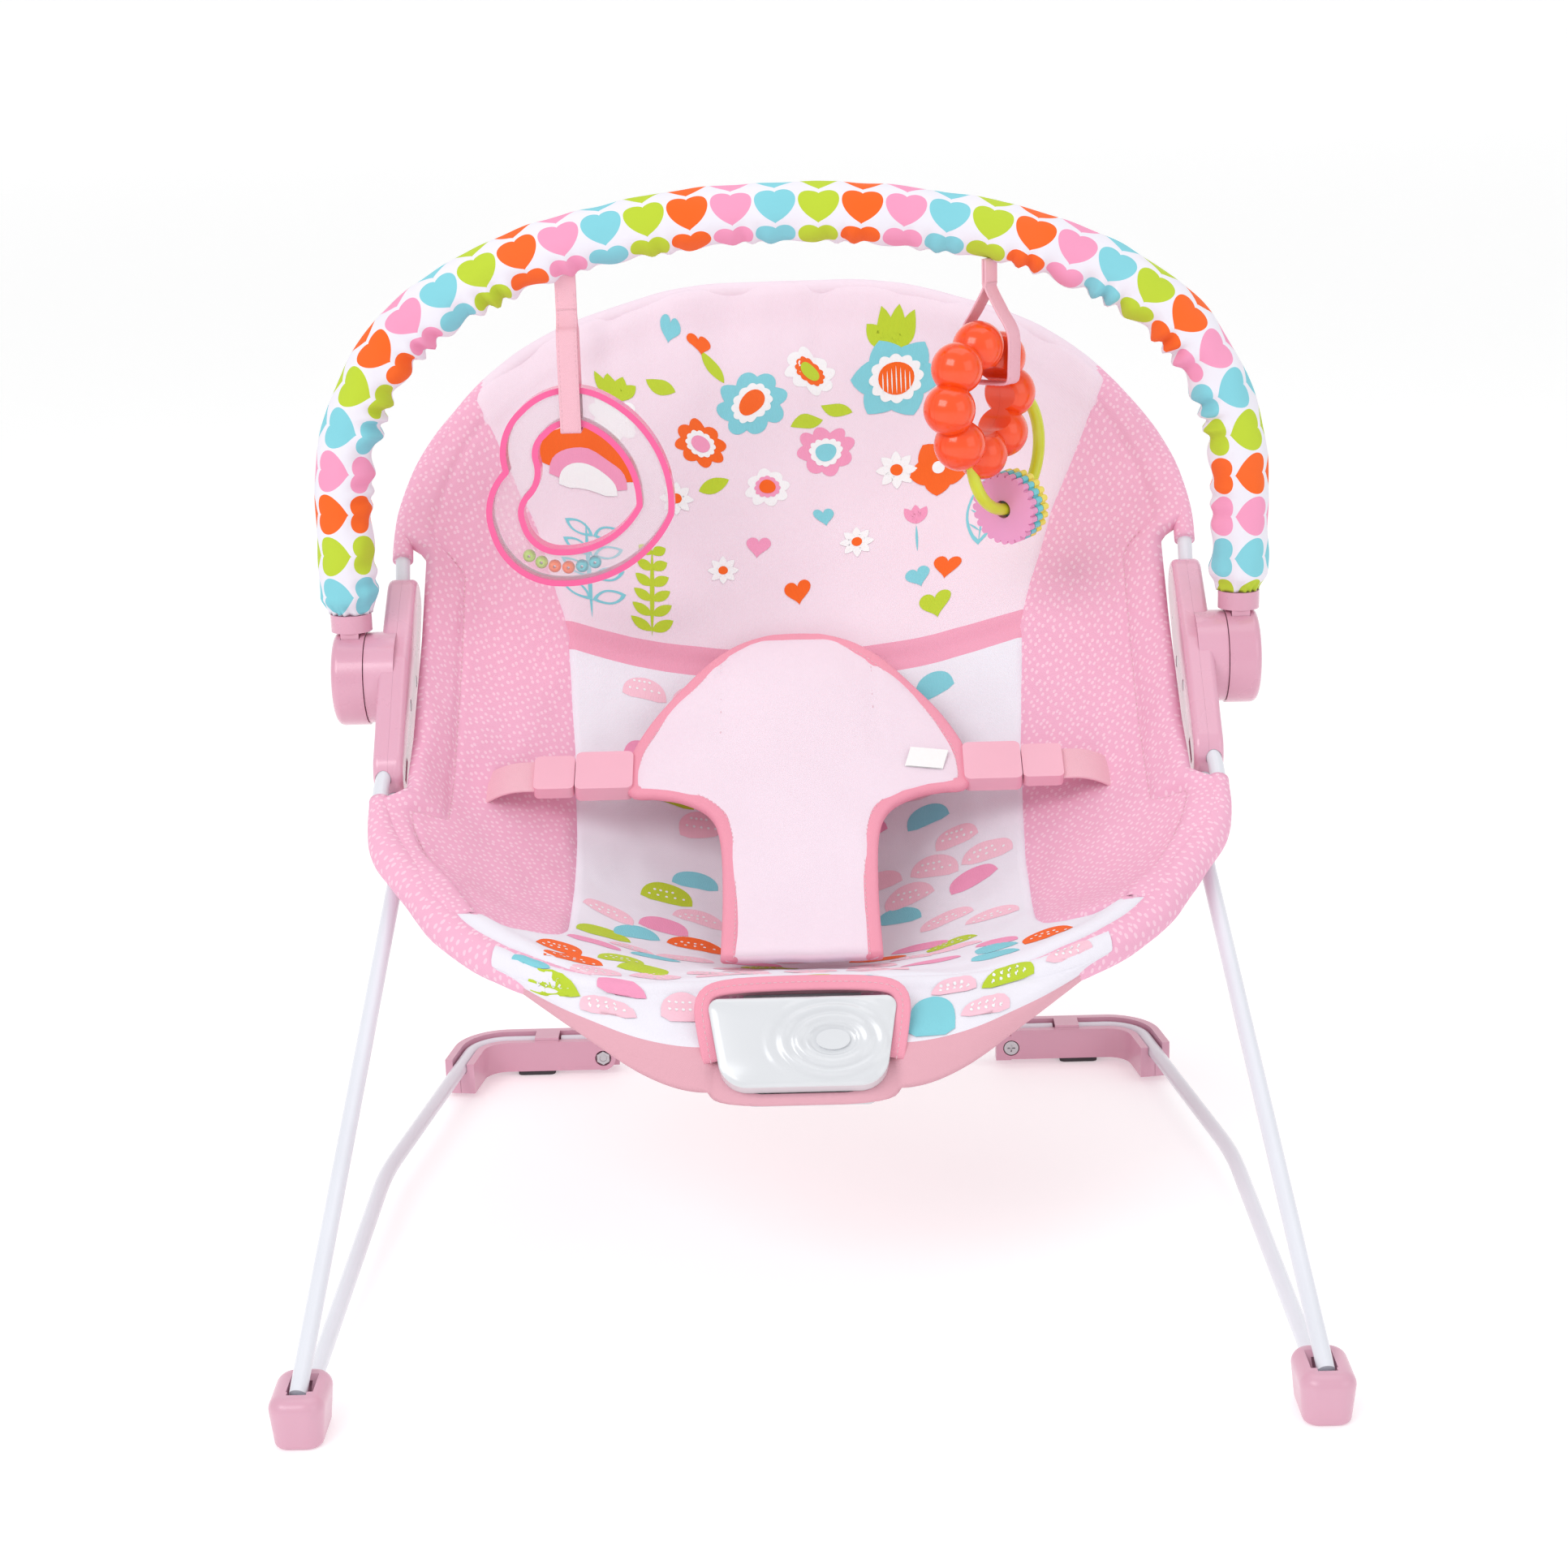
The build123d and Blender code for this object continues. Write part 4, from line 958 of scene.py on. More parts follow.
# half flower on a stem with outlined leaves
stamp(dome_shape(56, 27), -116, 463, 0, P_ORANGE, 0)
stamp(dome_shape(44, 19), -116, 459, 0, P_PINK, 1)
stamp(dome_shape(33, 14), -116, 456, 0, P_WHITE, 2)
stamp(leaf_shape(62, 2.6), -113, 405, 4, P_AQUA, 0)
for k, d in enumerate((412, 421, 430, 438)):
    for turn in (-62, 62):
        stamp(leaf_shape(21 - k, 8.5), -113, d, turn, P_AQUA, 0, ring=0.72)

# leafy plant
stamp(leaf_shape(56, 2.6), -80, 404, 0, P_LIME, 0)
for k, d in enumerate((406, 412, 418, 424, 430, 436)):
    for turn in (-58, 58):
        stamp(leaf_shape(14 - k, 6.5), -80, d, turn, P_LIME, 0)

# round flowers in the middle of the back
for x, d, size, a, b, c in (
    (-22, 497, 21, P_AQUA, P_WHITE, P_ORANGE),
    (12, 508, 15, P_WHITE, P_ORANGE, P_LIME),
    (-52, 480, 15, P_ORANGE, P_WHITE, P_PINK),
    (20, 478, 17, P_PINK, P_WHITE, P_AQUA),
    (-14, 463, 13, P_WHITE, P_PINK, P_ORANGE),
):
    stamp(petals_shape(8, size, 0.22), x, d, 11, a, 0)
    stamp(petals_shape(12, size * 0.58, 0.12), x, d, 0, b, 1)
    stamp(disc_shape(size * 0.36), x, d, 0, c, 2)
for x, d, turn in ((-38, 505, 40), (0, 487, -70), (-36, 468, 120), (36, 492, 65), (-66, 497, 60)):
    stamp(leaf_shape(20, 9), x, d, turn, P_LIME, 0)

# large flower on the right with its crown, leaves and petals
for turn in (-40, -14, 14, 40):
    stamp(leaf_shape(22, 12), 60, 512, turn, P_LIME, 0)
for k in range(6):
    stamp(leaf_shape(27, 22), 62, 502, 60 * k + 20, P_AQUA, 1)
stamp(petals_shape(12, 16, 0.14), 62, 502, 0, P_WHITE, 2)
stamp(disc_shape(10.5), 62, 502, 0, P_ORANGE, 3)
for k in range(-3, 4):
    stamp(leaf_shape(18 - abs(k) * 1.5, 0.7), 62 + k * 2.6, 496.5, 0, P_WHITE, 4)
for x, d, turn in ((101, 474, 14), (104, 432, -10)):
    stamp(leaf_shape(44, 19), x, d, turn, P_AQUA, 0, ring=0.86)
    stamp(leaf_shape(40, 1.2), x, d, turn, P_AQUA, 0)
    for k in range(1, 5):
        for side in (-1, 1):
            c, s = cos(radians(turn)), sin(radians(turn))
            up = 8 * k
            stamp(
                leaf_shape(9, 0.9), x - s * up, d + c * up * 0.68, turn + 50 * side, P_AQUA, 0
            )
for k in range(5):
    stamp(leaf_shape(17, 15), 84, 466, 72 * k + 30, P_ORANGE, 1)
stamp(disc_shape(3.6), 84, 466, 0, P_WHITE, 2)
for x, d, size in ((60, 467, 12), (36, 441, 10), (-66, 458, 10), (-40, 432, 9)):
    for k in range(8):
        stamp(leaf_shape(size, size * 0.5), x, d, 45 * k, P_WHITE, 1)
    stamp(disc_shape(size * 0.3), x, d, 0, P_ORANGE, 2)
for turn in (-32, 0, 32):
    stamp(leaf_shape(12, 6), 70, 446, turn, P_PINK, 0)
stamp(leaf_shape(17, 1.4), 70, 435, 0, P_AQUA, 0)

# rounded cobbles below the stripe, in rows like roof tiles
random.seed(11)
tones = (P_BLUSH, P_AQUA, P_BLUSH, P_LIME, P_PINK, P_BLUSH, P_ORANGE, P_BLUSH)
step = 0
for row, d in enumerate(np.arange(150, 384, 13.5)):
    half = 112 if d > 205 else lerp(146, 116, (d - 150) / 55)
    if d < 158:
        half = 112
    x = -half + 10 + (row % 2) * 15
    while x < half - 8:
        width = random.uniform(21, 30)
        height = random.uniform(10, 14.5)
        tone = tones[(step * 5 + row * 3) % len(tones)]
        at = x + random.uniform(-3, 3)
        turn = random.uniform(-16, 16)
        if random.random() < 0.72:
            stamp(dome_shape(width, height), at, d, turn, tone, 0)
            if tone in (P_LIME, P_ORANGE, P_BLUSH) and random.random() < 0.75:
                for k in range(9):
                    dx = width * 0.33 * (k % 5 - 2) / 2 * (1 if k < 5 else 0.7)
                    dy = height * (0.3 if k < 5 else 0.62)
                    stamp(disc_shape(0.75), at + dx, d + dy * 0.8, 0, P_WHITE, 1)
        x += width + random.uniform(3, 8)
        step += 1
seat_print = art.make("seat_print", PRINTS, weld=0)
place(seat_print, "seat_frame", "seat_cloth")

# ---------------------------------------------------------------- restraint

RESTRAINT_TILT = radians(28.9)
crotch = Vector((0, front_y + 0.190, 0.155))
along_r = Vector((0, cos(RESTRAINT_TILT), sin(RESTRAINT_TILT)))
out_r = Vector((0, -sin(RESTRAINT_TILT), cos(RESTRAINT_TILT)))
outline = [(0, 38), (40, 37), (78, 38.5), (98, 45), (110, 59), (116, 74), (120, 87)]
outline += [(135, 88), (150, 85.5), (172, 75), (194, 60), (214, 45), (228, 31), (236, 16)]


def restraint_half(v):
    return float(np.interp(v, [a for a, _ in outline], [b for _, b in outline]))


def restraint_point(u, v, lift=0.0):
    """A point of the restraint's middle surface, u across and v up it, in mm."""
    dip = 7.0 * (1 - (u / 88) ** 2) * smooth(v / 90) * smooth((260 - v) / 60)
    return crotch + EX * (u * MM) + along_r * (v * MM) + out_r * ((dip - 3.0 + lift) * MM)


rows = [0, 6, 14] + list(range(22, 92, 7)) + list(range(92, 122, 2)) + list(range(124, 232, 5))
rows += [230, 233, 235, 236]
top, low = [], []
for v in rows:
    half = restraint_half(v)
    line_top, line_low = [], []
    for k in range(-24, 25):
        u = half * sin(pi / 2 * k / 24)
        near = min(half - abs(u), (236.5 - v) * 0.9, 60)
        puff = 2.6 * sqrt(max(0.0, min(near / 12, 1.0)) * (2 - min(near / 12, 1.0)))
        fold = waves(u / 24, v / 34, 2.0) * 1.5 + waves(u / 9, v / 15, 7.0) * 0.4
        seam = -1.1 * np.exp(-(((abs(u) - 41) / 1.8) ** 2)) * smooth((v - 120) / 12)
        line_top.append(restraint_point(u, v, 0.3 + puff + (fold + seam) * min(near / 6, 1)))
        line_low.append(restraint_point(u, v, -puff + fold * min(near / 6, 1) - 0.3))
    top.append(line_top)
    low.append(line_low)
restraint = Build()
restraint_uv = lambda i, j: (top[i][j].x, rows[i] * MM)
restraint.patch(top, restraint_uv)
restraint.patch(low, restraint_uv, mat=1)
rim = [row[0] for row in top] + top[-1][1:] + [row[-1] for row in reversed(top[:-1])]
rim_low = [row[0] for row in low] + low[-1][1:] + [row[-1] for row in reversed(low[:-1])]
restraint.patch([rim, rim_low])
restraint.patch([top[0], low[0]])
restraint_pad = restraint.make("restraint_panel", ("restraint_cloth", "lining"))
place(restraint_pad, "seat_frame", "side_cloth", "restraint_pad")

edge_2d = [(b, a) for a, b in outline]
edge_2d += [(8, 237.2), (0, 237.6), (-8, 237.2)] + [(-b, a) for a, b in reversed(outline)]
bind_path = resample(catmull([restraint_point(u, v, 0.0) for u, v in edge_2d], 8), 3 * MM)
inward = []
for p, t in zip(bind_path, tangents(bind_path)):
    inward.append(out_r.cross(t).normalized())
bind_path = [p + s * (1.8 * MM) for p, s in zip(bind_path, inward)]
binding = Build()
sweep(binding, bind_path, inward, rounded_section(8.6 * MM, 5.6 * MM, 2.4 * MM))
restraint_binding = binding.make("restraint_binding", ("binding",))
place(restraint_binding, "seat_frame", "side_cloth")
thread = Build()
stitch_path = [p + s * (2.4 * MM) + out_r * (2.78 * MM) for p, s in zip(bind_path, inward)]
stitches(thread, stitch_path, out_r, pitch=3.0 * MM)
for sign in (-1, 1):
    line = [
        restraint_point(sign * 41, v, 1.9 + waves(sign * 41 / 24, v / 34, 2.0) * 1.5)
        for v in range(124, 212, 3)
    ]
    stitches(thread, line, out_r, pitch=3.4 * MM)
restraint_thread = thread.make("restraint_thread", ("thread",), weld=0)
place(restraint_thread, "seat_frame", "webbing")

# blank sewn label on the right wing
tag = Build()
label_rows = []
for v in np.linspace(127, 141.5, 7):
    lean = (v - 130) * 0.25
    label_rows.append(
        [restraint_point(u + lean, v, 4.4 - (u - 64) * 0.03) for u in np.linspace(57, 77, 9)]
    )
tag.patch(label_rows)
tag.patch([[p - out_r * (0.7 * MM) for p in row] for row in label_rows])
label = tag.make("restraint_label", ("label",))
place(label, "seat_frame", "side_cloth")

# waist straps: flat webbing from the buckles to the side panels
for side, sign in (("left", -1), ("right", 1)):
    low_box, high_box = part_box(f"waist_strap_{side}")
    middle = (low_box + high_box) / 2
    path = [
        Vector((sign * x * MM, middle.y, middle.z)) + out_r * (h * MM)
        for x, h in ((131, 0), (141, 0.4), (150, 0), (158, -2.5), (166, -7.5), (172, -13))
    ]
    strap = Build()
    sweep(strap, catmull(path, 5), along_r, rounded_section(22 * MM, 1.6 * MM, 0.7 * MM))
    obj = strap.make(f"waist_webbing_{side}", ("webbing",))
    place(obj, "seat_frame", "webbing", f"waist_strap_{side}")

# ---------------------------------------------------------------- vibration unit


def unit(x, up, out):
    """A point in the unit's tilted frame, in mm: across, up its face, out of it."""
    back = up * cos(UNIT_TILT) - out * sin(UNIT_TILT)
    return unit_origin + Vector(
        (x * MM, back * MM, (up * sin(UNIT_TILT) + out * cos(UNIT_TILT)) * MM)
    )


unit_out = Vector((0, -sin(UNIT_TILT), cos(UNIT_TILT)))


def rounded_polygon(corners, radii, steps=10):
    """Points round a polygon whose corners are arcs."""
    out = []
    count = len(corners)
    for k in range(count):
        p = Vector(corners[k])
        a = (Vector(corners[k - 1]) - p).normalized()
        b = (Vector(corners[(k + 1) % count]) - p).normalized()
        half = a.angle(b) / 2
        reach = radii[k] / np.tan(half)
        centre = p + (a + b).normalized() * (radii[k] / sin(half))
        start = p + a * reach - centre
        end = p + b * reach - centre
        first = atan2(start.y, start.x)
        turn = (atan2(end.y, end.x) - first + pi) % (2 * pi) - pi
        for s in range(steps + 1):
            angle = first + turn * s / steps
            out.append(centre + Vector((cos(angle), sin(angle))) * radii[k])
    return out


case_outline = rounded_polygon([(-45, 44), (-38, 0), (38, 0), (45, 44)], [5, 14, 14, 5])
closed = [Vector((p.x, p.y, 0)) for p in case_outline]
closed = resample([*closed, closed[0]], 1.1)[:-1]
BUTTON = (14, 22)
face_centre = Vector((0, 23, 0))


def face_height(x, y, share):
    """Crowned face with ripples round the button's oval recess."""
    oval = sqrt(((x - BUTTON[0]) / 1.45) ** 2 + (y - BUTTON[1]) ** 2)
    crown = 1.9 * (1 - share**3.2) - 1.9 * max(0.0, share - 0.93) ** 1.2 * 9
    ripple = 0.62 * sin(oval * 1.25) * smooth((oval - 7.5) / 3) * smooth((26 - oval) / 12)
    recess = -1.25 * smooth((8.6 - oval) / 1.6)
    return crown * (1 - 0.35 * smooth((10 - oval) / 6)) + ripple + recess


face = Build()
rows = []
for share in list(np.linspace(0.0, 0.92, 44)) + [0.95, 0.97, 0.985, 1.0]:
    row = []
    for q in closed:
        p = face_centre.lerp(q, share)
        row.append(unit(p.x, p.y, face_height(p.x, p.y, share)))
    rows.append(row)
for out in (-2.0, -5.0, -9.0, -12.0):
    rows.append([unit(q.x, q.y, out) for q in closed])
for share, out in ((0.96, -12.0), (0.955, -4.0)):
    rows.append([unit(*face_centre.lerp(q, share).xy, out) for q in closed])
face.patch(rows, wrap=True)
vib_face = face.make("vib_face", ("white_plastic",), weld=1e-5)
place(vib_face, "seat_frame", "white_plastic", "vib_case_front")

# ---------------------------------------------------------------- apron round the unit

front_sorted = sorted(front_line, key=lambda p: p.x)
front_xs = [p.x for p in front_sorted]


def front_tube_at(x):
    y, z = (float(np.interp(x, front_xs, [p[k] for p in front_sorted])) for k in (1, 2))
    return Vector((x, y, z))


def over_roll(x, degrees, out):
    """A point round the rolled front edge, turned forwards and down from its top."""
    a = radians(degrees)
    out += 2.4 * smooth((0.040 - abs(x)) / 0.010)  # room for the unit's arm
    away = Vector((x * 1.4 * sin(a), -sin(a), cos(a))).normalized()
    p = front_tube_at(x)
    full = roll_swell(x)
    return p + roll_shift(p, full) + away * (out * (1 + 0.48 * full) * MM)


def white_low(x):
    """Lower edge of the white cloth beside the unit."""
    share = smooth((0.146 - abs(x)) / 0.10)
    start = over_roll(x, 112, 6.6)
    end = unit(0, 22, -6.0)
    return Vector((x, lerp(start.y, end.y, share), lerp(start.z, end.z, share)))


apron_rows = []
xs = list(np.linspace(-0.146, -0.0455, 60)) + list(np.linspace(-0.0454, 0.0454, 48))
xs += list(np.linspace(0.0455, 0.146, 60))
for k, out in enumerate((5.2, 5.6, 6.0, 6.5, 6.9, 7.1, 7.2, 7.1)):
    apron_rows.append([over_roll(x, 16 * k - 40, out) for x in xs])
for t in np.linspace(0.04, 1, 15):
    row = []
    for x in xs:
        high = over_roll(x, 80, 6.9)
        if abs(x) < 0.04545:
            bend = smooth((abs(x) - 0.037) / 0.008)
            low = unit(x / MM, lerp(49.5, 45, bend), -3.0)
        else:
            low = white_low(x)
        p = high.lerp(low, t)
        puff = sin(pi * t) * (2.2 + waves(x * 60, t * 2, 5.0) * 1.6)
        row.append(p + unit_out * (puff * MM))
    apron_rows.append(row)
apron = Build()
apron_uv = lambda i, j: (xs[j], i * 0.0012)
apron.patch(apron_rows, apron_uv)
apron.patch([[p - unit_out * (1.1 * MM) for p in row] for row in apron_rows], apron_uv, mat=1)
apron_obj = apron.make("front_apron", ("apron_white", "lining"), weld=0)
place(apron_obj, "seat_frame", "seat_cloth")


# cobbles printed on the apron
apron_tree = tree_of(apron_obj)
apron_grid = np.array([[tuple(p) for p in row] for row in apron_rows])


def on_apron(x, up, lift):
    """A point on the apron, up its surface from the lower edge, both in mm."""
    column = min(range(len(xs)), key=lambda k: abs(xs[k] - x * MM))
    line = apron_grid[::-1, column]
    run = np.concatenate([[0], np.cumsum(np.linalg.norm(np.diff(line, axis=0), axis=1))])
    if up * MM > run[-1] or up < 0:
        return None
    p = Vector([float(np.interp(up * MM, run, line[:, k])) for k in range(3)])
    p.x = x * MM
    hit, normal, _, _ = apron_tree.find_nearest(p)
    if normal.dot(unit_out) < 0 and normal.z < 0:
        normal = -normal
    return hit + normal * (lift * MM)


art = Build()
for x, up, width, height, tone, turn in (
    (-118, 6, 26, 12, P_LIME, 20), (-92, 7, 28, 9, P_BLUSH, 14), (-72, 3, 27, 14, P_AQUA, 12),
    (-56, 15, 22, 17, P_BLUSH, 4), (-130, 15, 20, 7, P_AQUA, 24), (-86, 22, 24, 9, P_PINK, 8),
    (-30, 13, 24, 6, P_BLUSH, 0), (8, 14, 26, 6, P_LIME, 0), (34, 13, 20, 6, P_AQUA, 0),
    (60, 4, 23, 20, P_AQUA, -6), (86, 5, 24, 9, P_BLUSH, -14), (72, 24, 22, 8, P_BLUSH, -8),
    (112, 4, 26, 10, P_AQUA, -18), (98, 18, 26, 9, P_LIME, -12), (128, 13, 24, 9, P_BLUSH, -22),
):
    c, s = cos(radians(turn)), sin(radians(turn))
    shape = dome_shape(width, height)
    for marks, tint, level in ((None, tone, 0), (9, P_WHITE, 1)):
        if marks and tone in (P_AQUA, P_PINK):
            continue
        for k in range(marks or 1):
            at_x, at_y = 0.0, 0.0
            outline_2d = shape
            if marks:
                at_x = width * 0.3 * (k % 5 - 2) / 2
                at_y = height * (0.3 if k < 5 else 0.6)
                outline_2d = disc_shape(0.8)
            grid = []
            for share in (1.0, 0.7, 0.4) if not marks else (1.0, 0.5):
                row = []
                for px, py in outline_2d:
                    qx, qy = at_x + px * share, at_y + py * share
                    at = x + qx * c - qy * s, up + qx * s + qy * c
                    row.append(on_apron(*at, 0.5 + 0.12 * level))
                grid.append(row)
            if any(p is None for row in grid for p in row):
                continue
            art.tube(grid, mat=tint, first=False)
place(art.make("apron_print", PRINTS, weld=0), "seat_frame", "seat_cloth")

# salmon strip under the white cloth and under the unit
inner, outer = [], []
for x in np.linspace(-0.1455, -0.0455, 44):
    share = smooth((0.1455 + x) / 0.10)
    inner.append(white_low(x))
    start = over_roll(x, 140, 6.6)
    end = unit(0, 2, -12)
    outer.append(Vector((x, lerp(start.y, end.y, share), lerp(start.z, end.z, share))))
half_in = [(-41.5, 20), (-39.5, 14), (-37, 8), (-33.5, 3.4), (-28, 0.6), (-20, -0.4), (0, -0.4)]
half_out = [(-44, 0), (-42.5, -1.5), (-39.5, -2.8), (-35, -3.8), (-28, -4.6), (-20, -5), (0, -5)]
inner_left = list(inner) + [unit(x, y, -10) for x, y in half_in]
outer_left = list(outer) + [unit(x, y, -13) for x, y in half_out]
mirror = lambda line: [Vector((-p.x, p.y, p.z)) for p in reversed(line[:-1])]
inner = inner_left + mirror(inner_left)
outer = outer_left + mirror(outer_left)
strip_rows = []
for t in np.linspace(0, 1, 9):
    puff = unit_out * (sin(pi * t) * 1.6 * MM)
    strip_rows.append([a.lerp(b, t) + puff for a, b in zip(inner, outer)])
under = [p + Vector((0, 0.75, 0.25)) * (13 * MM) for p in outer]
for t in (0.33, 0.66, 1.0):
    droop = Vector((0, 0, 1)) * (sin(pi * t) * 2 * MM)
    strip_rows.append([a.lerp(b, t) - droop for a, b in zip(outer, under)])
strip = Build()
strip_uv = lambda i, j: (j * 0.0026, i * 0.002)
strip.patch(strip_rows, strip_uv)
strip.patch([[p - unit_out * (1.0 * MM) for p in row] for row in strip_rows], strip_uv)
strip_obj = strip.make("front_lining_strip", ("lining",), weld=0)
place(strip_obj, "seat_frame", "seat_cloth")

# wide binding that arches over the unit
arch = [(-43.5, 15), (-45, 23), (-46.5, 32), (-47.2, 40), (-45.6, 46.2), (-40, 49.6), (-28, 51.2)]
arch += [(-10, 51.8), (10, 51.8)] + [(-x, y) for x, y in reversed(arch[:7])]
arch_points = [unit(x, y, -3.0 - 5 * smooth((30 - y) / 16)) for x, y in arch]
arch_path = resample(catmull(arch_points, 6), 2.5 * MM)
sides = [unit_out.cross(t).normalized() for t in tangents(arch_path)]
binding = Build()
sweep(binding, arch_path, sides, rounded_section(7.6 * MM, 2.6 * MM, 1.2 * MM))
unit_binding = binding.make("unit_binding", ("binding",))
place(unit_binding, "seat_frame", "seat_cloth")
thread = Build()
stitches(thread, [p + unit_out * (1.35 * MM) for p in arch_path], unit_out, pitch=2.8 * MM)
place(thread.make("unit_thread", ("thread",), weld=0), "seat_frame", "webbing")

# ---------------------------------------------------------------- toy bar cover

cover_low, cover_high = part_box("toy_bar_cover")
COVER_R = (cover_high.y - cover_low.y) / 2
UV_TURN = 0.008  # turns the print round the bar
bar_x = cover_high.x - COVER_R
EZ = Vector((0, 0, 1))
arch_line = tube_line(
    "toy_bar_cover", Vector((0, pivot.y, cover_low.z + 0.03)), EX, EZ, 4, 176, 173
)
legs = [Vector((bar_x, pivot.y, z)) for z in np.linspace(cover_low.z, arch_line[0].z - 0.006, 12)]
bar_path = legs + arch_line + [Vector((-p.x, p.y, p.z)) for p in reversed(legs)]
bar_path = resample(bar_path, 1.7 * MM)
bar_length = sum((b - a).length for a, b in zip(bar_path, bar_path[1:]))
AROUND = 72
cover = Build()
rows, travelled = [], [0.0]
for i, (p, t) in enumerate(zip(bar_path, tangents(bar_path))):
    if i:
        travelled.append(travelled[-1] + (p - bar_path[i - 1]).length)
    s = travelled[-1]
    end = min(s, bar_length - s)
    side = Vector((0, -1, 0))
    out = t.cross(side).normalized()
    if out.dot(p - Vector((0, pivot.y, 0.3))) < 0:
        out = -out
    bend = smooth((abs(p.x) - 0.10) / 0.05) * smooth((p.z - 0.36) / 0.04)
    row = []
    for k in range(AROUND):
        a = 2 * pi * k / AROUND
        direction = -out * cos(a) + side * sin(a)
        inner_side = smooth((cos(a) - 0.1) / 0.6)
        radius = COVER_R - 0.3 * MM
        radius += waves(s * 55, cos(a) * 1.4, sin(a) * 1.4) * 1.1 * MM
        pucker = sin(s / MM * 0.44 + 2 * sin(s / MM * 0.13) + 0.8 * cos(a)) * inner_side
        radius += pucker * (0.8 + 1.1 * bend) * MM
        gather = smooth(1 - end / (9 * MM))
        radius -= gather * 5.2 * MM
        radius += sin(13 * a + 2 * sin(3 * a)) * gather * 0.9 * MM
        radius += sin(11 * a) * smooth(1 - end / (30 * MM)) * 0.35 * MM
        row.append(p + direction * radius)
    rows.append(row)
cover.patch(rows, lambda i, j: (travelled[i] - bar_length / 2, j / AROUND + UV_TURN), wrap=True)
for row, p in ((rows[0], bar_path[0]), (rows[-1], bar_path[-1])):
    cover.patch([row, [p.lerp(q, 0.72) + EZ * (3.5 * MM) for q in row]], wrap=True)
cover_obj = cover.make("bar_cover", ("heart_cloth",))
place(cover_obj, "toy_bar", "heart_cloth", "toy_bar_cover")

# ---------------------------------------------------------------- straps of the toys


def strap_piece(name, node, body, across, half_gap, stitch_z, square):
    """A folded webbing loop in the place of its CAD solid."""
    low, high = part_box(node)
    middle = (low + high) / 2
    side = Vector((across.y, -across.x, 0))
    shape = [
        (0.75, high.z + 9 * MM), (0.75, stitch_z + 4 * MM), (0.85, stitch_z),
        (half_gap * 0.55, stitch_z - half_gap * 0.8 * MM),
        (half_gap + 0.5, stitch_z - half_gap * 1.62 * MM),
        (half_gap + 0.65, low.z + lerp(9, 4, square) * MM),
        (half_gap + lerp(0.1, 0.55, square), low.z + lerp(3.0, 1.4, square) * MM),
        (half_gap - lerp(2.6, 0.4, square), low.z + lerp(0.9, 0.65, square) * MM),
        (0, low.z + 0.6 * MM),
    ]
    line = shape + [(-w, z) for w, z in reversed(shape[:-1])]
    path = [Vector((middle.x, middle.y, z)) + across * (w * MM) for w, z in line]
    path = resample(catmull(path, 8), 1.6 * MM)
    strap = Build()
    length = sweep(strap, path, side, rounded_section(11 * MM, 1.2 * MM, 0.5 * MM))
    obj = strap.make(name, ("webbing",))
    place(obj, body, "webbing", node)
    thread = Build()
    for offset in (-4.3, 4.3):
        for face in (-1, 1):
            lined = []
            ups = []
            for p, t in zip(path, tangents(path)):
                if p.z < high.z - 1.5 * MM:
                    up = side.cross(t).normalized() * face
                    lined.append(p + side * (offset * MM) + up * (0.62 * MM))
                    ups.append(up)
            stitches(thread, lined, ups, 2.6 * MM, 1.7 * MM, 0.24 * MM)
    for face in (-1, 1):
        centre = Vector((middle.x, middle.y, stitch_z + 3 * MM)) + across * (face * 1.5 * MM)
        bar = [centre + side * (w * MM) for w in np.linspace(-4.5, 4.5, 14)]
        stitches(thread, bar, across * face, pitch=0.9 * MM, length=1.3 * MM)
    place(thread.make(name + "_thread", ("thread",), weld=0), body, "webbing")
    return obj


strap_piece("strap_left_webbing", "toy_strap_left", "left_strap", Vector((0, 1, 0)), 7.7, 0.456, 1)
ring_normal = Vector(joint["ring_swing"]["axis"])
strap_piece("strap_right_webbing", "toy_strap_right", "right_strap", -ring_normal, 14.1, 0.464, 0)

# ---------------------------------------------------------------- beads

BEAD_R = 3.5 * MM
BEAD_ARC = 0.0375  # from the roll axis to each bead
BEAD_MIDDLE, BEAD_STEP = -97, 11.2  # degrees along the channel
HOLE = 0.30  # radians from a bead's pole to the edge of its hole
bead_joint = joint["bead_roll"]["pos_m"]
bead_build = Build()
round_angles = [2 * pi * k / 20 for k in range(20)]
for index in range(6):
    angle = radians(BEAD_MIDDLE + (index - 2.5) * BEAD_STEP)
    centre_x = bead_joint[0] + BEAD_ARC * cos(angle)
    c = Vector((centre_x, pivot.y, bead_joint[2] + BEAD_ARC * sin(angle)))
    rows = []
    for a in np.linspace(HOLE, pi - HOLE, 13):
        r = BEAD_R * (1 - 0.035 * np.exp(-(((a - pi / 2) / 0.09) ** 2)))
        rows.append(
            [c + Vector((sin(a) * cos(b), cos(a), sin(a) * sin(b))) * r for b in round_angles]
        )
    hole = sin(HOLE) * BEAD_R * 0.8
    for depth in (-0.72, 0.72):
        rows.append(
            [c + Vector((cos(b) * hole, depth * BEAD_R, sin(b) * hole)) for b in round_angles]
        )
    rows.append(rows[0])
    bead_build.patch(rows, wrap=True, mat=index // 2)
bead_obj = bead_build.make("bead_set", ("bead_lime", "bead_orange", "bead_aqua"), weld=1e-6)
place(bead_obj, "beads", "bead_lime", "rattle_beads")

# ---------------------------------------------------------------- studio

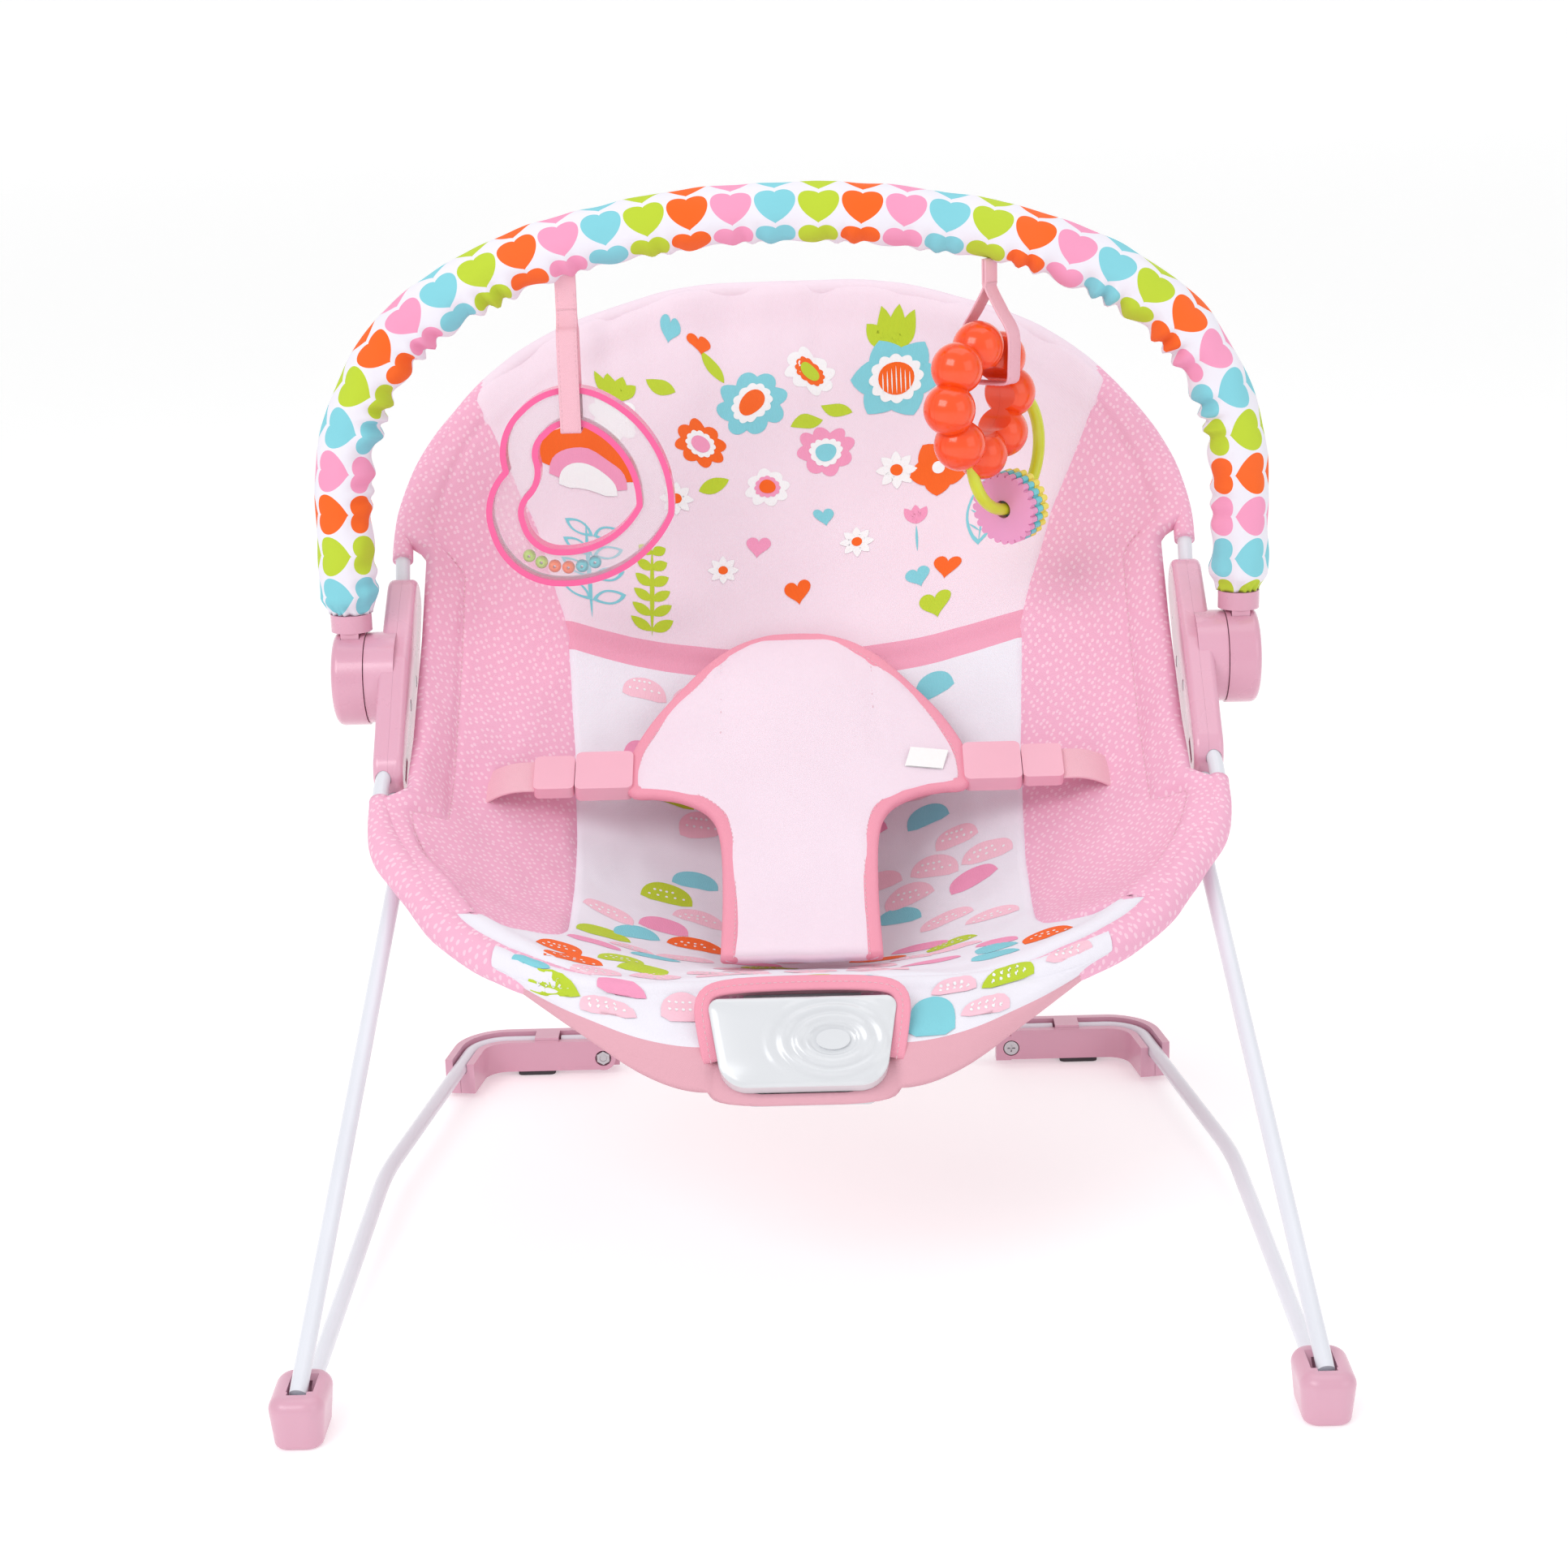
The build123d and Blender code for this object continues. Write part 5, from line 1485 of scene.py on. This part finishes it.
floor_mat, tree, shader = begin("floor")
feed(tree, shader, Base_Color=(0.80, 0.80, 0.80, 1), Roughness=0.55)
feed(tree, shader, Emission_Color=(1, 1, 1, 1), Emission_Strength=0.33)
mesh = bpy.data.meshes.new("floor")
HALF_FLOOR, FRONT_END, WALL_Y, WALL_TOP = 40, -30, 22, 14
corners = [(FRONT_END, 0), (WALL_Y, 0), (WALL_Y, WALL_TOP)]
mesh.from_pydata(
    [(x, y, z) for y, z in corners for x in (-HALF_FLOOR, HALF_FLOOR)],
    [],
    [(0, 1, 3, 2), (2, 3, 5, 4)],
)
mesh.materials.append(floor_mat)
floor = bpy.data.objects.new("floor", mesh)
bpy.context.scene.collection.objects.link(floor)

world = bpy.data.worlds.new("studio")
world.use_nodes = True
feed(world.node_tree, world.node_tree.nodes["Background"], Color=(1, 1, 1, 1), Strength=0.72)
bpy.context.scene.world = world
bpy.context.scene.view_settings.view_transform = "Standard"


def area_light(name, at, aim, size, power):
    data = bpy.data.lights.new(name, "AREA")
    data.shape = "RECTANGLE"
    data.size, data.size_y = size
    data.energy = power
    obj = bpy.data.objects.new(name, data)
    obj.location = at
    obj.rotation_euler = (Vector(aim) - Vector(at)).to_track_quat("-Z", "Y").to_euler()
    bpy.context.scene.collection.objects.link(obj)


# name, place, aim, size and power
area_light("key", (-1.3, -1.7, 1.9), (0, 0, 0.25), (1.6, 1.2), 24)
area_light("fill", (1.7, -1.3, 1.0), (0, 0, 0.25), (1.4, 1.4), 5)
area_light("top", (0.2, 0.4, 2.2), (0, 0, 0.2), (2.0, 1.6), 9)

CAMERA_AT = (0.008, front_y - 1.123, 0.605)
CAMERA_TURN, CAMERA_DOWN, CAMERA_ROLL = 0.63, 15.42, -1.65  # degrees

camera_data = bpy.data.cameras.new("camera")
camera_data.lens = 64.2
camera_data.sensor_width = 36.0
camera_data.clip_end = 60
camera = bpy.data.objects.new("camera", camera_data)
camera.matrix_world = (
    Matrix.Translation(CAMERA_AT)
    @ Matrix.Rotation(radians(CAMERA_TURN), 4, "Z")
    @ Matrix.Rotation(radians(90 - CAMERA_DOWN), 4, "X")
    @ Matrix.Rotation(radians(CAMERA_ROLL), 4, "Z")
)
bpy.context.scene.collection.objects.link(camera)
bpy.context.scene.camera = camera
